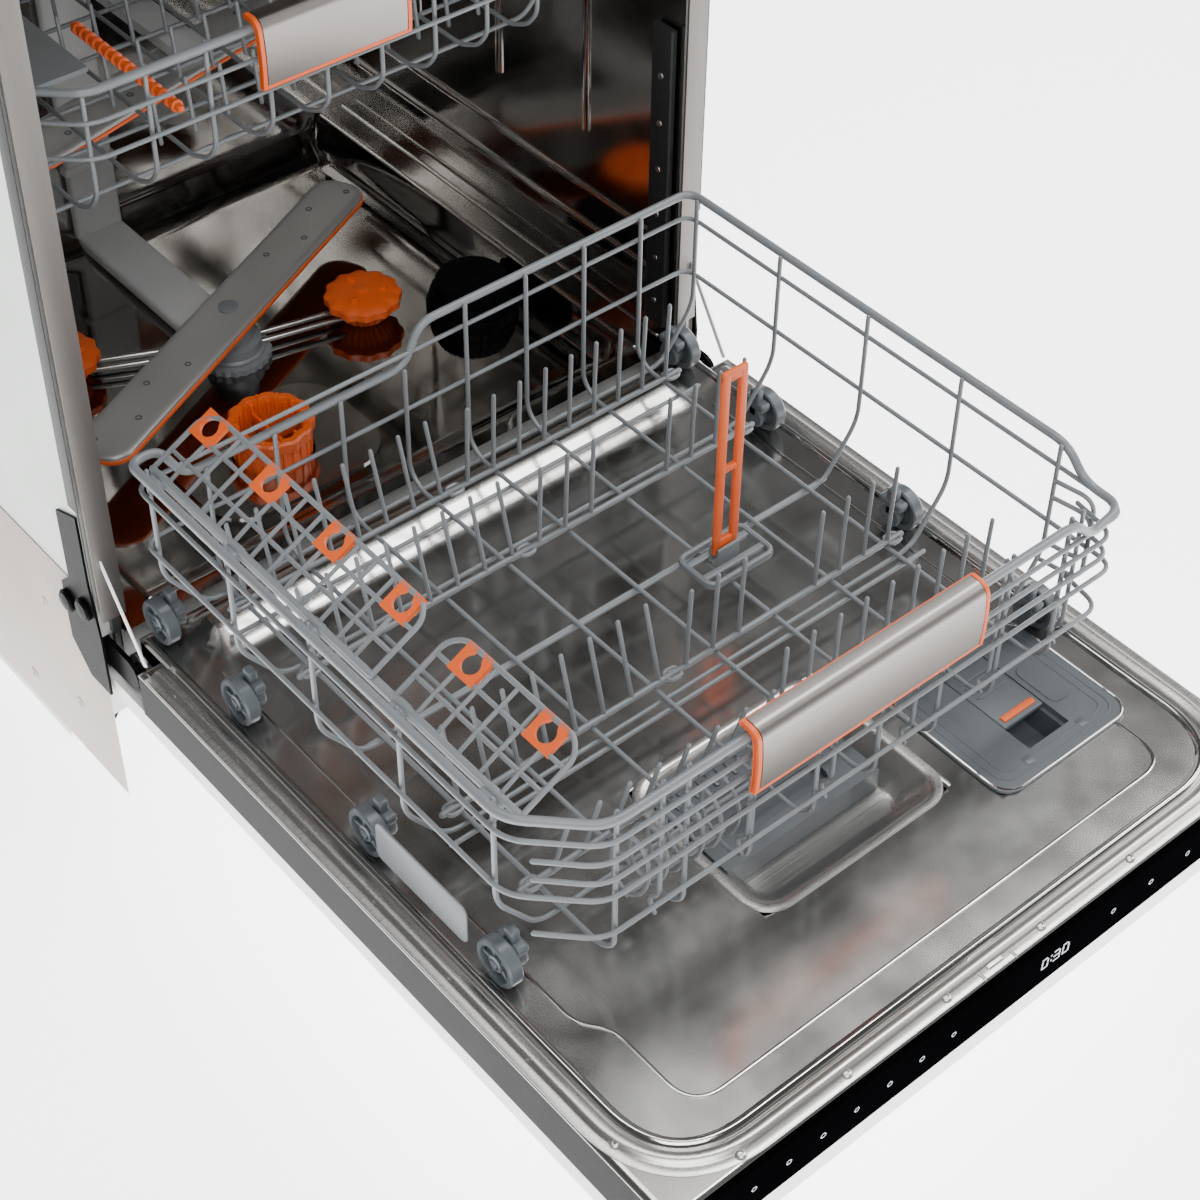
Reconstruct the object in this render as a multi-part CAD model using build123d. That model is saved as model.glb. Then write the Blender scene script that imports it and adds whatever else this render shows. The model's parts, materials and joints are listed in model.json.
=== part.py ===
from build123d import *
import math
import os

# Built-in dishwasher with its door open. +X is the machine's right side, +Y goes into the machine and
# +Z is up, in millimetres. The drawing datum is the tub's front plane; every node is then moved by
# DATUM_SHIFT, so that the open machine stands over the middle of its own length.

# ---- overall size
WIDTH = 598
HEIGHT = 820
BODY_DEPTH = 508
FOOT_HEIGHT = 20

# ---- door
AXIS_Z = 185
AXIS_TO_LINER = 20
LINER_GAP = 8
DOOR_REACH = 628
DOOR_DROP = 8
DOOR_THICK = 42
PANEL_THICK = 18
PANEL_DROP = 92
DOOR_HALF = WIDTH / 2 - 2
NOTCH_INSIDE = 276
NOTCH_REACH = 24
AXIS_Y = -(LINER_GAP + AXIS_TO_LINER)
RAIL_Z = AXIS_Z + AXIS_TO_LINER
DOOR_BACK_Y = AXIS_Y + DOOR_DROP
DOOR_TIP_Y = AXIS_Y - DOOR_REACH
SHELL_Z = RAIL_Z - DOOR_THICK
STRIP_THICK = 6
SHEET = 1.2

# ---- tub
TUB_HALF = 280
TUB_DEPTH = 495
TUB_TOP = 800
TUB_FLOOR_Z = 168
LEDGE_INSIDE = 244
SILL_FRONT_Y = -7

# ---- lower rack, rolled out on the open door by RACK_OUT
RACK_OUT = 505
RACK_LENGTH = 470
RACK_REAR_Y = TUB_DEPTH - 19 - RACK_OUT
RACK_FRONT_Y = RACK_REAR_Y - RACK_LENGTH
RIM_Z = RAIL_Z + 176
RIM_R = 3.5
WIRE_R = 2.5
TINE_R = 2.0
SIDE_WIRE_X = 259.5
RACK_CHAMFER = 46
LONG_WIRE_Z = RAIL_Z + 31
CROSS_WIRE_Z = LONG_WIRE_Z - 2 * WIRE_R
TINE_ROD_Z = LONG_WIRE_Z + 2 * WIRE_R + 0.4
WHEEL_R = 19
WHEEL_Z = RAIL_Z + WHEEL_R + 0.1
WHEEL_Y = [-32, -138, -297, -441]
PIN_R = 4
RUNNING_FIT = 0.05

# ---- upper rack and its rails
UPPER_FRONT_Y = 80
UPPER_REAR_Y = 478
UPPER_RIM_Z = 605
UPPER_FLOOR_Z = 492
UPPER_HALF = 240
UPPER_RAIL_Z = 530
ROLLER_R = 10
ROLLER_Y = [105, 140]

# ---- spray arms and what stands on the tub floor
HUB_X = -6
HUB_Y = 264
ARM_Z = 208
ARM_THICK = 12
ARM_HALF = 216
ARM_TURN = 26
UPPER_ARM_Z = 455
UPPER_ARM_Y = 285
UPPER_ARM_HALF = 188
FILTER_X = -53
FILTER_Y = 134
SALT_X = 200
SALT_Y = 184
JETS = [(116, 236), (-140, 330)]

# ---- fasteners, feet and hinge pins
TAB_X = 180
TAB_HOLE_Y = -1
TAB_HOLE_R = 2.2
FOOT_X = 262
FOOT_Y = [118, 470]
HINGE_PIN_R = 5

# ---- supply fittings at the back
SUPPLY_Z = 125
INLET_X = 210
INLET_R = 13.2
DRAIN_X = 155
DRAIN_R = 10.5
SOCKET_X = 95

# ---- units let into the door's liner: x0, x1, y0, y1
DISPENSER_BOX = (116, 244, -546, -430)
POCKET_BOX = (-92, 88, -516, -372)
LID_BOX = (160, 202, -504, -440)
LID_TRAVEL = 24

# ---- fittings of the lower rack
RACK_CROSS_Y = [-44, -105, -195, -235, -300, -365, -445, -485]
SHELF_AXIS_X = -252
SHELF_AXIS_Z = RIM_Z - 6
SHELF_TILT = -28
SHELF_REACH = 60
CLIP_EDGE = 36
CLIP_U = 48
CLIP_PITCH = 76
SHELF_REAR = (-169, 266, 4, 4)
SHELF_FRONT = (-390, 134, 2, 0)
TINE_LENGTH = 76
TINE_PITCH = 26
POST_X = 98
POST_Y = -263
POST_Z = 257
POST_TOP = 428
POST_PIN_R = 2.5
POST_GAP = (POST_X - 24, POST_X + 24)
LOWER_GRIP_HALF = 106
UPPER_GRIP_HALF = 66

DATUM_SHIFT = (-DOOR_TIP_Y - BODY_DEPTH) / 2


def block(x0, x1, y0, y1, z0, z1):
    """A box between two corners."""
    return Pos((x0 + x1) / 2, (y0 + y1) / 2, (z0 + z1) / 2) * Box(x1 - x0, y1 - y0, z1 - z0)


def both_sides(x0, x1, y0, y1, z0, z1):
    """The same box on the right and on the left of the machine."""
    return [block(x0, x1, y0, y1, z0, z1), block(-x1, -x0, y0, y1, z0, z1)]


def post(x, y, z0, z1, r):
    """An upright cylinder."""
    return Pos(x, y, (z0 + z1) / 2) * Cylinder(r, z1 - z0)


def rod(start, end, r):
    """A straight round wire from one point to another."""
    a = Vector(*start)
    b = Vector(*end)
    plane = Plane(origin=a, z_dir=b - a)
    return extrude(plane * Circle(r), (b - a).length)


def cross_shaft(x0, x1, y, z, r):
    """A cylinder that lies along X."""
    return rod((x0, y, z), (x1, y, z), r)


def rounded_plate(length, width, corner, thick):
    """A flat plate with rounded corners, its underside at z = 0."""
    return extrude(RectangleRounded(length, width, corner), thick)


def wire_ring(half, rear, front, chamfer, z, r):
    """A horizontal wire round a basket: square at the rear, chamfered at both front corners."""
    trim = r * math.tan(math.radians(22.5))
    wires = [rod((-half + r, rear, z), (half - r, rear, z), r)]
    wires.append(rod((-half + chamfer + trim, front, z), (half - chamfer - trim, front, z), r))
    for side in (-1, 1):
        wires.append(rod((side * half, rear, z), (side * half, front + chamfer + trim, z), r))
        step = trim * math.sqrt(0.5)
        corner_side = (side * (half - step), front + chamfer - step, z)
        corner_front = (side * (half - chamfer + step), front + step, z)
        wires.append(rod(corner_side, corner_front, r))
    return wires


# ------------------------------------------------------------------ cabinet
def tub_wrapper():
    """Side walls, ceiling and back of the tub, with the pins that the upper rack's rollers turn on."""
    solids = both_sides(TUB_HALF, TUB_HALF + 1, 0, TUB_DEPTH, TUB_FLOOR_Z, TUB_TOP)
    solids.append(block(-TUB_HALF - 1, TUB_HALF + 1, 0, TUB_DEPTH, TUB_TOP, TUB_TOP + 1))
    solids.append(block(-TUB_HALF, TUB_HALF, TUB_DEPTH, TUB_DEPTH + 1, TUB_FLOOR_Z, TUB_TOP))
    for y in ROLLER_Y:
        for side in (-1, 1):
            solids.append(cross_shaft(side * 265.5, side * TUB_HALF, y, UPPER_RAIL_Z, 3))
    return solids


def tub_floor():
    """Two wheel ledges and a front sill at rail height, a lower floor round the sump opening."""
    inner = LEDGE_INSIDE
    under = RAIL_Z - SHEET
    solids = both_sides(inner, TUB_HALF, SILL_FRONT_Y, TUB_DEPTH, under, RAIL_Z)
    solids += both_sides(inner, inner + 1, 12, TUB_DEPTH, TUB_FLOOR_Z, under)
    solids.append(block(-inner, inner, SILL_FRONT_Y, 12, under, RAIL_Z))
    solids.append(block(-inner, inner, 10.8, 12, TUB_FLOOR_Z, under))
    low = TUB_FLOOR_Z - SHEET
    hole = 46
    x0, x1 = FILTER_X - hole, FILTER_X + hole
    y0, y1 = FILTER_Y - hole, FILTER_Y + hole
    solids.append(block(-inner, x0, 12, TUB_DEPTH, low, TUB_FLOOR_Z))
    solids.append(block(x1, inner, 12, TUB_DEPTH, low, TUB_FLOOR_Z))
    solids.append(block(x0, x1, 12, y0, low, TUB_FLOOR_Z))
    solids.append(block(x0, x1, y1, TUB_DEPTH, low, TUB_FLOOR_Z))
    return solids


def front_frame():
    """Brushed posts and header round the mouth of the tub, with the gasket seat behind the seal."""
    outer = WIDTH / 2 - 2
    posts = both_sides(TUB_HALF + 1.2, outer, -1, 12, RAIL_Z, TUB_TOP + 2)
    return posts + [block(-outer, outer, -1, 12, TUB_TOP + 2, TUB_TOP + 16)]


def door_gasket():
    strips = both_sides(TUB_HALF + 2, TUB_HALF + 9, -6.5, -1, RAIL_Z + 3, TUB_TOP + 3)
    return strips + [block(-TUB_HALF - 9, TUB_HALF + 9, -6.5, -1, TUB_TOP + 3, TUB_TOP + 10)]


def base_tray():
    """The plastic base that carries the tub: a floor, two cheeks and a rear wall."""
    half = WIDTH / 2 - 3
    z0 = FOOT_HEIGHT
    solids = [block(-half, half, 90, 505, z0, z0 + 4)]
    solids += both_sides(half - 14, half, 90, 505, z0 + 4, TUB_FLOOR_Z - 2)
    rear = block(-half + 14, half - 14, 501, 505, z0 + 4, TUB_FLOOR_Z - 2)
    rear -= rod((INLET_X, 499, SUPPLY_Z), (INLET_X, 507, SUPPLY_Z), INLET_R + 1)
    rear -= rod((DRAIN_X, 499, SUPPLY_Z), (DRAIN_X, 507, SUPPLY_Z), DRAIN_R + 1)
    rear -= block(SOCKET_X - 13, SOCKET_X + 13, 499, 507, SUPPLY_Z - 11, SUPPLY_Z + 11)
    solids.append(rear)
    solids += both_sides(TUB_HALF + 2, TUB_HALF + 8, 12, 88, TUB_FLOOR_Z - 2, RAIL_Z - 2)
    return solids


def kick_plate():
    return [block(-294, 294, 86, 89.5, FOOT_HEIGHT + 2, AXIS_Z - 24)]


def outer_panels():
    """Side panels with a recess for the furniture panel's foot, the back sheet and the top sheet."""
    solids = []
    for side in (-1, 1):
        x0, x1 = sorted((side * (WIDTH / 2 - 1.2), side * WIDTH / 2))
        upper = block(x0, x1, 0, BODY_DEPTH, AXIS_Z - 22, HEIGHT - 2)
        lower = block(x0, x1, 90, BODY_DEPTH, FOOT_HEIGHT, AXIS_Z - 22)
        solids.append(upper + lower)
    half = WIDTH / 2 - 1.2
    solids.append(block(-half, half, BODY_DEPTH - 1.2, BODY_DEPTH, TUB_FLOOR_Z, HEIGHT - 2))
    return solids + [top_plate()]


def top_plate():
    """Galvanised top sheet with two worktop tabs, each with a screw hole."""
    half = WIDTH / 2
    plate = block(-half, half, 2, BODY_DEPTH, HEIGHT - 2, HEIGHT)
    for x in (-TAB_X, TAB_X):
        plate += block(x - 14, x + 14, -6, 2, HEIGHT - 2, HEIGHT)
        plate -= post(x, TAB_HOLE_Y, HEIGHT - 3, HEIGHT + 1, TAB_HOLE_R)
    return plate


def insulation():
    """Felt blanket round the tub: left, right, top and back."""
    solids = both_sides(TUB_HALF + 2, WIDTH / 2 - 3, 14, 494, RAIL_Z, TUB_TOP)
    solids.append(block(-TUB_HALF, TUB_HALF, 14, 494, TUB_TOP + 2, TUB_TOP + 14))
    solids.append(block(-TUB_HALF, TUB_HALF, TUB_DEPTH + 1.5, BODY_DEPTH - 3, RAIL_Z, TUB_TOP))
    return solids


def levelling_feet():
    feet = []
    for x in (-FOOT_X, FOOT_X):
        for y in FOOT_Y:
            pad = post(x, y, 0, 8, 20)
            feet.append(pad + post(x, y, 8, FOOT_HEIGHT, 6))
    return feet


def hinge_brackets():
    """Black steel brackets outside the door's ends; each carries the hinge pin that the arm turns on."""
    solids = []
    for side in (-1, 1):
        x0, x1 = sorted((side * 289, side * 293))
        lug = block(x0, x1, AXIS_Y, 60, AXIS_Z - 14, AXIS_Z + 14)
        lug += cross_shaft(x0, x1, AXIS_Y, AXIS_Z, 14)
        lug += block(x0, x1, 2, 60, AXIS_Z - 16, AXIS_Z + 17)
        pin = cross_shaft(side * 293, side * 279, AXIS_Y, AXIS_Z, HINGE_PIN_R)
        solids.append(lug + pin)
    return solids


def circulation_pump():
    body = cross_shaft(10, 130, 190, 95, 42)
    inlet = cross_shaft(-10, 10, 190, 95, 20)
    return [body + inlet]


def sump_bowl():
    """The bowl under the filter; open at the top."""
    bowl = post(FILTER_X, FILTER_Y, 60, TUB_FLOOR_Z - SHEET, 39)
    return [bowl - post(FILTER_X, FILTER_Y, 64, TUB_FLOOR_Z, 36)]


def softener_tank():
    return [block(-275, -150, 200, 400, 30, 150)]


def supply_fittings():
    """Water inlet valve, drain spigot and mains socket, reached through the base's rear wall."""
    valve = rod((INLET_X, 450, SUPPLY_Z), (INLET_X, 500, SUPPLY_Z), INLET_R + 3)
    valve += rod((INLET_X, 500, SUPPLY_Z), (INLET_X, BODY_DEPTH, SUPPLY_Z), INLET_R)
    drain = rod((DRAIN_X, 470, SUPPLY_Z), (DRAIN_X, 500, SUPPLY_Z), DRAIN_R + 4)
    drain += rod((DRAIN_X, 500, SUPPLY_Z), (DRAIN_X, BODY_DEPTH, SUPPLY_Z), DRAIN_R)
    socket = block(SOCKET_X - 17, SOCKET_X + 17, 466, 500, SUPPLY_Z - 15, SUPPLY_Z + 15)
    socket -= block(SOCKET_X - 13, SOCKET_X + 13, 482, 501, SUPPLY_Z - 11, SUPPLY_Z + 11)
    return [valve, drain, socket]


def counterweight():
    return [block(-250, 250, 405, 497, 26, 52)]


def feed_duct():
    """Flat water duct down the back wall and forward along the floor to the hub."""
    wall = block(HUB_X - 24, HUB_X + 24, 483.5, 494.5, TUB_FLOOR_Z + 0.5, 480)
    run = block(HUB_X - 24, HUB_X + 24, HUB_Y + 30, 483.5, TUB_FLOOR_Z + 0.5, TUB_FLOOR_Z + 15)
    port = rod((HUB_X, 483.6, UPPER_ARM_Z + 6), (HUB_X, 477, UPPER_ARM_Z + 6), 14)
    return [wall + run + port]


def filter_plate():
    plate = Pos(FILTER_X, FILTER_Y, TUB_FLOOR_Z) * rounded_plate(170, 130, 40, 2)
    return [plate - post(FILTER_X, FILTER_Y, TUB_FLOOR_Z - 1, TUB_FLOOR_Z + 3, 36)]


def filter_cup():
    """Removable filter: a cup with a wide scalloped grip ring that turns to unlock."""
    cup = post(FILTER_X, FILTER_Y, 100, 196, 33)
    ring = post(FILTER_X, FILTER_Y, TUB_FLOOR_Z + 2.4, 204, 38)
    for i in range(12):
        angle = math.radians(30 * i)
        x = FILTER_X + 41 * math.cos(angle)
        y = FILTER_Y + 41 * math.sin(angle)
        ring -= post(x, y, TUB_FLOOR_Z, 206, 6)
    return [cup + ring - post(FILTER_X, FILTER_Y, 103, 206, 29)]


def salt_cap():
    """Ribbed screw cap of the salt container."""
    cap = post(SALT_X, SALT_Y, TUB_FLOOR_Z + 0.3, 192, 42)
    return [cap + post(SALT_X, SALT_Y, 192, 203, 34)]


def floor_jets():
    """Two scalloped discs with three short nozzles each, on a stem."""
    solids = []
    for x, y in JETS:
        jet = post(x, y, TUB_FLOOR_Z + 0.2, 186, 12) + post(x, y, 186, 197, 34)
        for turn in (90, 210, 330):
            a = math.radians(turn)
            jet += post(x + 17 * math.cos(a), y + 17 * math.sin(a), 197, 202, 4)
        solids.append(jet)
    return solids + jet_pipes()


def jet_pipes():
    """Thin twin steel tubes from the hub to each disc."""
    solids = []
    for x, y in JETS:
        dx, dy = x - HUB_X, y - HUB_Y
        reach = math.hypot(dx, dy)
        ux, uy = dx / reach, dy / reach
        for offset in (-5, 5):
            ax = HUB_X + ux * 31 - uy * offset
            ay = HUB_Y + uy * 31 + ux * offset
            bx = x - ux * 13 - uy * offset
            by = y - uy * 13 + ux * offset
            solids.append(rod((ax, ay, 178), (bx, by, 178), 2.5))
    return solids


def lower_arm_hub():
    """Fixed ribbed hub with the pin that the lower spray arm turns on."""
    hub = post(HUB_X, HUB_Y, TUB_FLOOR_Z + 0.3, 190, 28) + post(HUB_X, HUB_Y, 190, ARM_Z - 1, 20)
    return [hub + post(HUB_X, HUB_Y, ARM_Z - 1, ARM_Z + ARM_THICK + 3, 9)]


# ------------------------------------------------------------------ door, drawn open
def corner_notches():
    """The space round the hinge axis at each end of the door that the bracket needs."""
    y0 = AXIS_Y - NOTCH_REACH
    return both_sides(NOTCH_INSIDE, WIDTH, y0, 10, 0, RAIL_Z + 50)


def door_liner():
    """Stainless inner sheet with a raised bead round it and openings for the two units."""
    front = DOOR_TIP_Y + STRIP_THICK
    sheet = block(-DOOR_HALF, DOOR_HALF, front, DOOR_BACK_Y, RAIL_Z - SHEET, RAIL_Z)
    bead = block(-273, 273, front + 20, DOOR_BACK_Y - 4, RAIL_Z, RAIL_Z + 3)
    bead -= block(-268, 268, front + 25, DOOR_BACK_Y + 5, RAIL_Z - 1, RAIL_Z + 4)
    sheet += bead
    for x0, x1, y0, y1 in (DISPENSER_BOX, POCKET_BOX):
        sheet -= block(x0, x1, y0, y1, RAIL_Z - 5, RAIL_Z + 5)
    sheet -= block(-14, 14, front - 1, front + 22, RAIL_Z - 5, RAIL_Z + 5)
    for notch in corner_notches():
        sheet -= notch
    return [sheet]


def door_shell():
    """Outer steel tray: the face and four walls, with the latch housing at the door's tip."""
    front = DOOR_TIP_Y + STRIP_THICK
    top = RAIL_Z - SHEET
    face = block(-DOOR_HALF, DOOR_HALF, front, DOOR_BACK_Y, SHELL_Z, SHELL_Z + SHEET)
    walls = both_sides(DOOR_HALF - SHEET, DOOR_HALF, front, DOOR_BACK_Y - NOTCH_REACH - 8,
                       SHELL_Z + SHEET, top)
    inner = DOOR_HALF - SHEET
    walls.append(block(-inner, inner, front, front + SHEET, SHELL_Z + SHEET, top))
    notch_half = NOTCH_INSIDE - 0.5
    walls.append(block(-notch_half, notch_half, DOOR_BACK_Y - SHEET, DOOR_BACK_Y,
                       SHELL_Z + SHEET, top))
    for notch in corner_notches():
        face -= notch
    latch = block(-13, 13, front + 2, front + 21, RAIL_Z - 20, RAIL_Z - 2)
    return [face, latch] + walls


def furniture_panel():
    front = DOOR_TIP_Y
    return [block(-296, 296, front, AXIS_Y + PANEL_DROP, SHELL_Z - PANEL_THICK, SHELL_Z)]


def control_strip():
    return [block(-DOOR_HALF, DOOR_HALF, DOOR_TIP_Y, DOOR_TIP_Y + STRIP_THICK, SHELL_Z, RAIL_Z)]


def door_screws():
    """Round-headed screws along the two sides and the front of the liner's flange."""
    heads = []
    for y in (-90, -190, -290, -390, -490, -590):
        for x in (-285, 285):
            heads.append(post(x, y, RAIL_Z, RAIL_Z + 2, 4))
    for x in (-200, -70, 70, 200):
        heads.append(post(x, DOOR_TIP_Y + 14, RAIL_Z, RAIL_Z + 2, 4))
    return heads


def dispenser_body():
    """Detergent dispenser: a framed tray let into the liner, with a well under the sliding lid."""
    x0, x1, y0, y1 = DISPENSER_BOX
    middle = Pos((x0 + x1) / 2, (y0 + y1) / 2, RAIL_Z + 0.2)
    rim = middle * rounded_plate(x1 - x0 + 10, y1 - y0 + 10, 16, 2)
    body = rim + block(x0 + 0.5, x1 - 0.5, y0 + 0.5, y1 - 0.5, RAIL_Z - 32, RAIL_Z + 0.2)
    lid_x0, lid_x1, lid_y0, lid_y1 = LID_BOX
    body -= block(lid_x0 - 0.5, lid_x1 + 0.5, lid_y0 - LID_TRAVEL - 0.5, lid_y1 + 0.5,
                  RAIL_Z - 3, RAIL_Z + 5)
    body -= block(lid_x0 + 3, lid_x1 - 3, lid_y0 - LID_TRAVEL + 1, lid_y1 - 6,
                  RAIL_Z - 26, RAIL_Z)
    return [body]


def dispenser_lid():
    lid_x0, lid_x1, lid_y0, lid_y1 = LID_BOX
    lid = block(lid_x0, lid_x1, lid_y0, lid_y1, RAIL_Z - 2.6, RAIL_Z + 2.2)
    grip = block(lid_x0 + 4, lid_x1 - 4, lid_y0 + 4, lid_y0 + 9, RAIL_Z + 2.2, RAIL_Z + 4)
    return [lid + grip]


def door_pocket():
    """Deep-drawn stainless pocket with a rolled rim, open upwards."""
    x0, x1, y0, y1 = POCKET_BOX
    middle = Pos((x0 + x1) / 2, (y0 + y1) / 2, 0)
    rim = middle * (Pos(0, 0, RAIL_Z + 0.2) * rounded_plate(x1 - x0 + 10, y1 - y0 + 10, 26, 1.8))
    pan = rim + block(x0 + 0.5, x1 - 0.5, y0 + 0.5, y1 - 0.5, RAIL_Z - 24, RAIL_Z + 0.2)
    return [pan - block(x0 + 1.5, x1 - 1.5, y0 + 1.5, y1 - 1.5, RAIL_Z - 23, RAIL_Z + 5)]


def pocket_unit():
    """Grey plastic rinse-aid and drying-vent unit that stands in the back of the pocket."""
    x0, x1, y0, y1 = POCKET_BOX
    unit = block(x0 + 8, x1 - 24, y0 + 46, y1 - 6, RAIL_Z - 22.9, RAIL_Z - 2)
    slot = Pos((x0 + x1) / 2 - 10, y0 + 72, RAIL_Z - 8) * rounded_plate(90, 20, 9, 10)
    return [unit - slot]


def hinge_arms():
    """Steel arms from inside the door to the hinge pins."""
    solids = []
    for side in (-1, 1):
        x0, x1 = sorted((side * 279.5, side * 284.5))
        arm = block(x0, x1, AXIS_Y - 90, AXIS_Y, AXIS_Z - 9, AXIS_Z + 9)
        arm += cross_shaft(x0, x1, AXIS_Y, AXIS_Z, 12)
        hole = cross_shaft(side * 279, side * 286, AXIS_Y, AXIS_Z, HINGE_PIN_R + RUNNING_FIT)
        solids.append(arm - hole)
    return solids


# ------------------------------------------------------------------ lower rack
def lower_basket():
    """Welded wire basket: a floor grid, side wires that curve in at the bottom, and rings."""
    rear, front = RACK_REAR_Y, RACK_FRONT_Y
    wires = []
    for x in (-210, -150, -90, -30, 30, 90, 150, 210):
        wires.append(rod((x, rear - 8, LONG_WIRE_Z), (x, front + 8, LONG_WIRE_Z), WIRE_R))
    for y in RACK_CROSS_Y:
        wires.append(rod((-228, y, CROSS_WIRE_Z), (228, y, CROSS_WIRE_Z), WIRE_R))
        for side in (-1, 1):
            wires.append(rod((side * 231, y, CROSS_WIRE_Z + 2), (side * 258, y, 272), WIRE_R))
            wires.append(rod((side * SIDE_WIRE_X, y, 276), (side * SIDE_WIRE_X, y, RIM_Z), WIRE_R))
    for x in (-180, -108, -36, 36, 108, 180):
        wires.append(rod((x, rear - RIM_R - WIRE_R, 241), (x, rear - RIM_R - WIRE_R, RIM_Z), WIRE_R))
        wires.append(rod((x, front + RIM_R + WIRE_R, 241), (x, front + RIM_R + WIRE_R, RIM_Z), WIRE_R))
    wires += wire_ring(SIDE_WIRE_X + RIM_R + WIRE_R, rear, front, RACK_CHAMFER, RIM_Z, RIM_R)
    for z in (345, 305):
        wires += wire_ring(SIDE_WIRE_X + 2 * WIRE_R, rear - 1, front + 1, RACK_CHAMFER, z, WIRE_R)
    wires.append(rod((-215, front + 1, 268), (215, front + 1, 268), WIRE_R))
    wires.append(rod((-215, rear - 1, 268), (215, rear - 1, 268), WIRE_R))
    return wires


def wheel_carriers():
    """Grey plastic blocks, each with the pin of one wheel, and the skirt plate on the left side."""
    solids = []
    for y in WHEEL_Y:
        for side in (-1, 1):
            x0, x1 = sorted((side * 244, side * 254.5))
            carrier = block(x0, x1, y - 14, y + 14, WHEEL_Z - 8, WHEEL_Z + 8)
            pin = cross_shaft(side * 254, side * 267, y, WHEEL_Z, PIN_R)
            solids.append(carrier + pin)
    solids.append(block(-271.5, -269.5, WHEEL_Y[3] + 24, WHEEL_Y[2] - 24, 228, 262))
    return solids


def wheel_pair(y):
    """A left and a right wheel on the same line."""
    wheels = []
    for side in (-1, 1):
        wheel = cross_shaft(side * 255.5, side * 266.5, y, WHEEL_Z, WHEEL_R)
        wheels.append(wheel - cross_shaft(side * 255, side * 267, y, WHEEL_Z, PIN_R + 0.15))
    return wheels


def handle_plate(front, top, half):
    """Bent steel plate over a rack's front rim: the face and the top."""
    face = block(-half, half, front - 13, front - 10, top - 42, top + 11)
    return [face + block(-half, half, front - 10, front + 5, top + 8, top + 11)]


def handle_grip(front, top, half):
    """Orange carrier between the rim and the steel plate."""
    back = block(-half, half, front - 10, front - 4, top - 46, top + 8)
    return [back + block(-half, half, front - 4, front + 7, top + 4, top + 8)]


def shelf_rail():
    """Flat plastic rail along the left side that carries both cup shelves."""
    return [block(-256, -247.3, RACK_FRONT_Y + 60, RACK_REAR_Y - 7, RIM_Z - 15, RIM_Z - 8.1)]


def tilt_shelf(solid, y):
    """Puts a shelf drawn flat from x = 0 at its hinge line, tilted up towards the middle."""
    return Pos(SHELF_AXIS_X, y, SHELF_AXIS_Z) * (Rot(0, SHELF_TILT, 0) * solid)


def clip_places(count, shift):
    """Where the stem clips of a shelf stand along its inner edge."""
    return [(i - (count - 1) / 2) * CLIP_PITCH + shift for i in range(count)]


def cup_shelf(y, length, count, shift):
    """Fold-up grid shelf on its hinge rod, with the clips at its inner edge."""
    plate = block(0, CLIP_EDGE, -length / 2, length / 2, -2, 2)
    plate += Rot(90, 0, 0) * Cylinder(1.9, length)
    rows = round(length / 26)
    pitch_x = (CLIP_EDGE - 4) / 2
    pitch_y = (length - 4) / rows
    for i in range(2):
        for j in range(rows):
            x = 3 + (i + 0.5) * pitch_x
            v = -length / 2 + 2 + (j + 0.5) * pitch_y
            plate -= block(x - pitch_x / 2 + 1.5, x + pitch_x / 2 - 1.5,
                           v - pitch_y / 2 + 1.5, v + pitch_y / 2 - 1.5, -3, 3)
    places = clip_places(count, shift)
    solids = [plate] + clip_edge(length, places) + stem_clips(places)
    return [tilt_shelf(solid, y) for solid in solids]


def clip_edge(length, places):
    """Open frames that fill the gaps beside a shelf's clips."""
    ends = [-length / 2]
    for v in places:
        ends += [v - 13.1, v + 13.1]
    ends.append(length / 2)
    frames = []
    for v0, v1 in zip(ends[::2], ends[1::2]):
        if v1 - v0 > 12:
            bars = block(CLIP_EDGE + 0.1, SHELF_REACH, v0, v1, -2, 2)
            frames.append(bars - block(CLIP_EDGE + 3, SHELF_REACH - 3, v0 + 3, v1 - 3, -3, 3))
    return frames


def stem_clips(places):
    """Square stem clips, each with a round seat that opens inwards through a neck."""
    clips = []
    for v in places:
        clip = block(CLIP_EDGE + 0.1, SHELF_REACH, v - 13, v + 13, -3, 3)
        clip -= Pos(CLIP_U, v, 0) * Cylinder(8, 8)
        clip -= block(CLIP_U, SHELF_REACH + 1, v - 4, v + 4, -4, 4)
        clips.append(clip)
    return clips


def tine_row(y, lean_left, offset, gap=(0, 0)):
    """One folding comb: a rod across the rack and tines; the left half leans, the right is upright."""
    solids = [rod((-226, y, TINE_ROD_Z), (226, y, TINE_ROD_Z), WIRE_R)]
    for i in range(17):
        x = offset + TINE_PITCH * (i - 8)
        if gap[0] < x < gap[1]:
            continue
        lean = math.radians(lean_left if x < 0 else 0)
        dy, dz = math.sin(lean), math.cos(lean)
        foot = (x, y + dy * WIRE_R, TINE_ROD_Z + dz * WIRE_R)
        tip = (x, y + dy * TINE_LENGTH, TINE_ROD_Z + dz * TINE_LENGTH)
        solids.append(rod(foot, tip, TINE_R))
    return solids


def stem_post():
    """Upright two-bar post that folds down sideways about the pin through its foot."""
    y0, y1 = POST_Y - 2.4, POST_Y + 2.4
    frame = block(POST_X - 12, POST_X + 12, y0, y1, POST_Z - 6, POST_Z + 8)
    for x in (POST_X - 12, POST_X + 6):
        frame += block(x, x + 6, y0, y1, POST_Z + 8, POST_TOP)
    for z in (POST_Z + 75, POST_TOP - 7):
        frame += block(POST_X - 6, POST_X + 6, y0, y1, z, z + 7)
    hole = rod((POST_X, y0 - 1, POST_Z), (POST_X, y1 + 1, POST_Z), POST_PIN_R + RUNNING_FIT)
    return [frame - hole]


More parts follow.
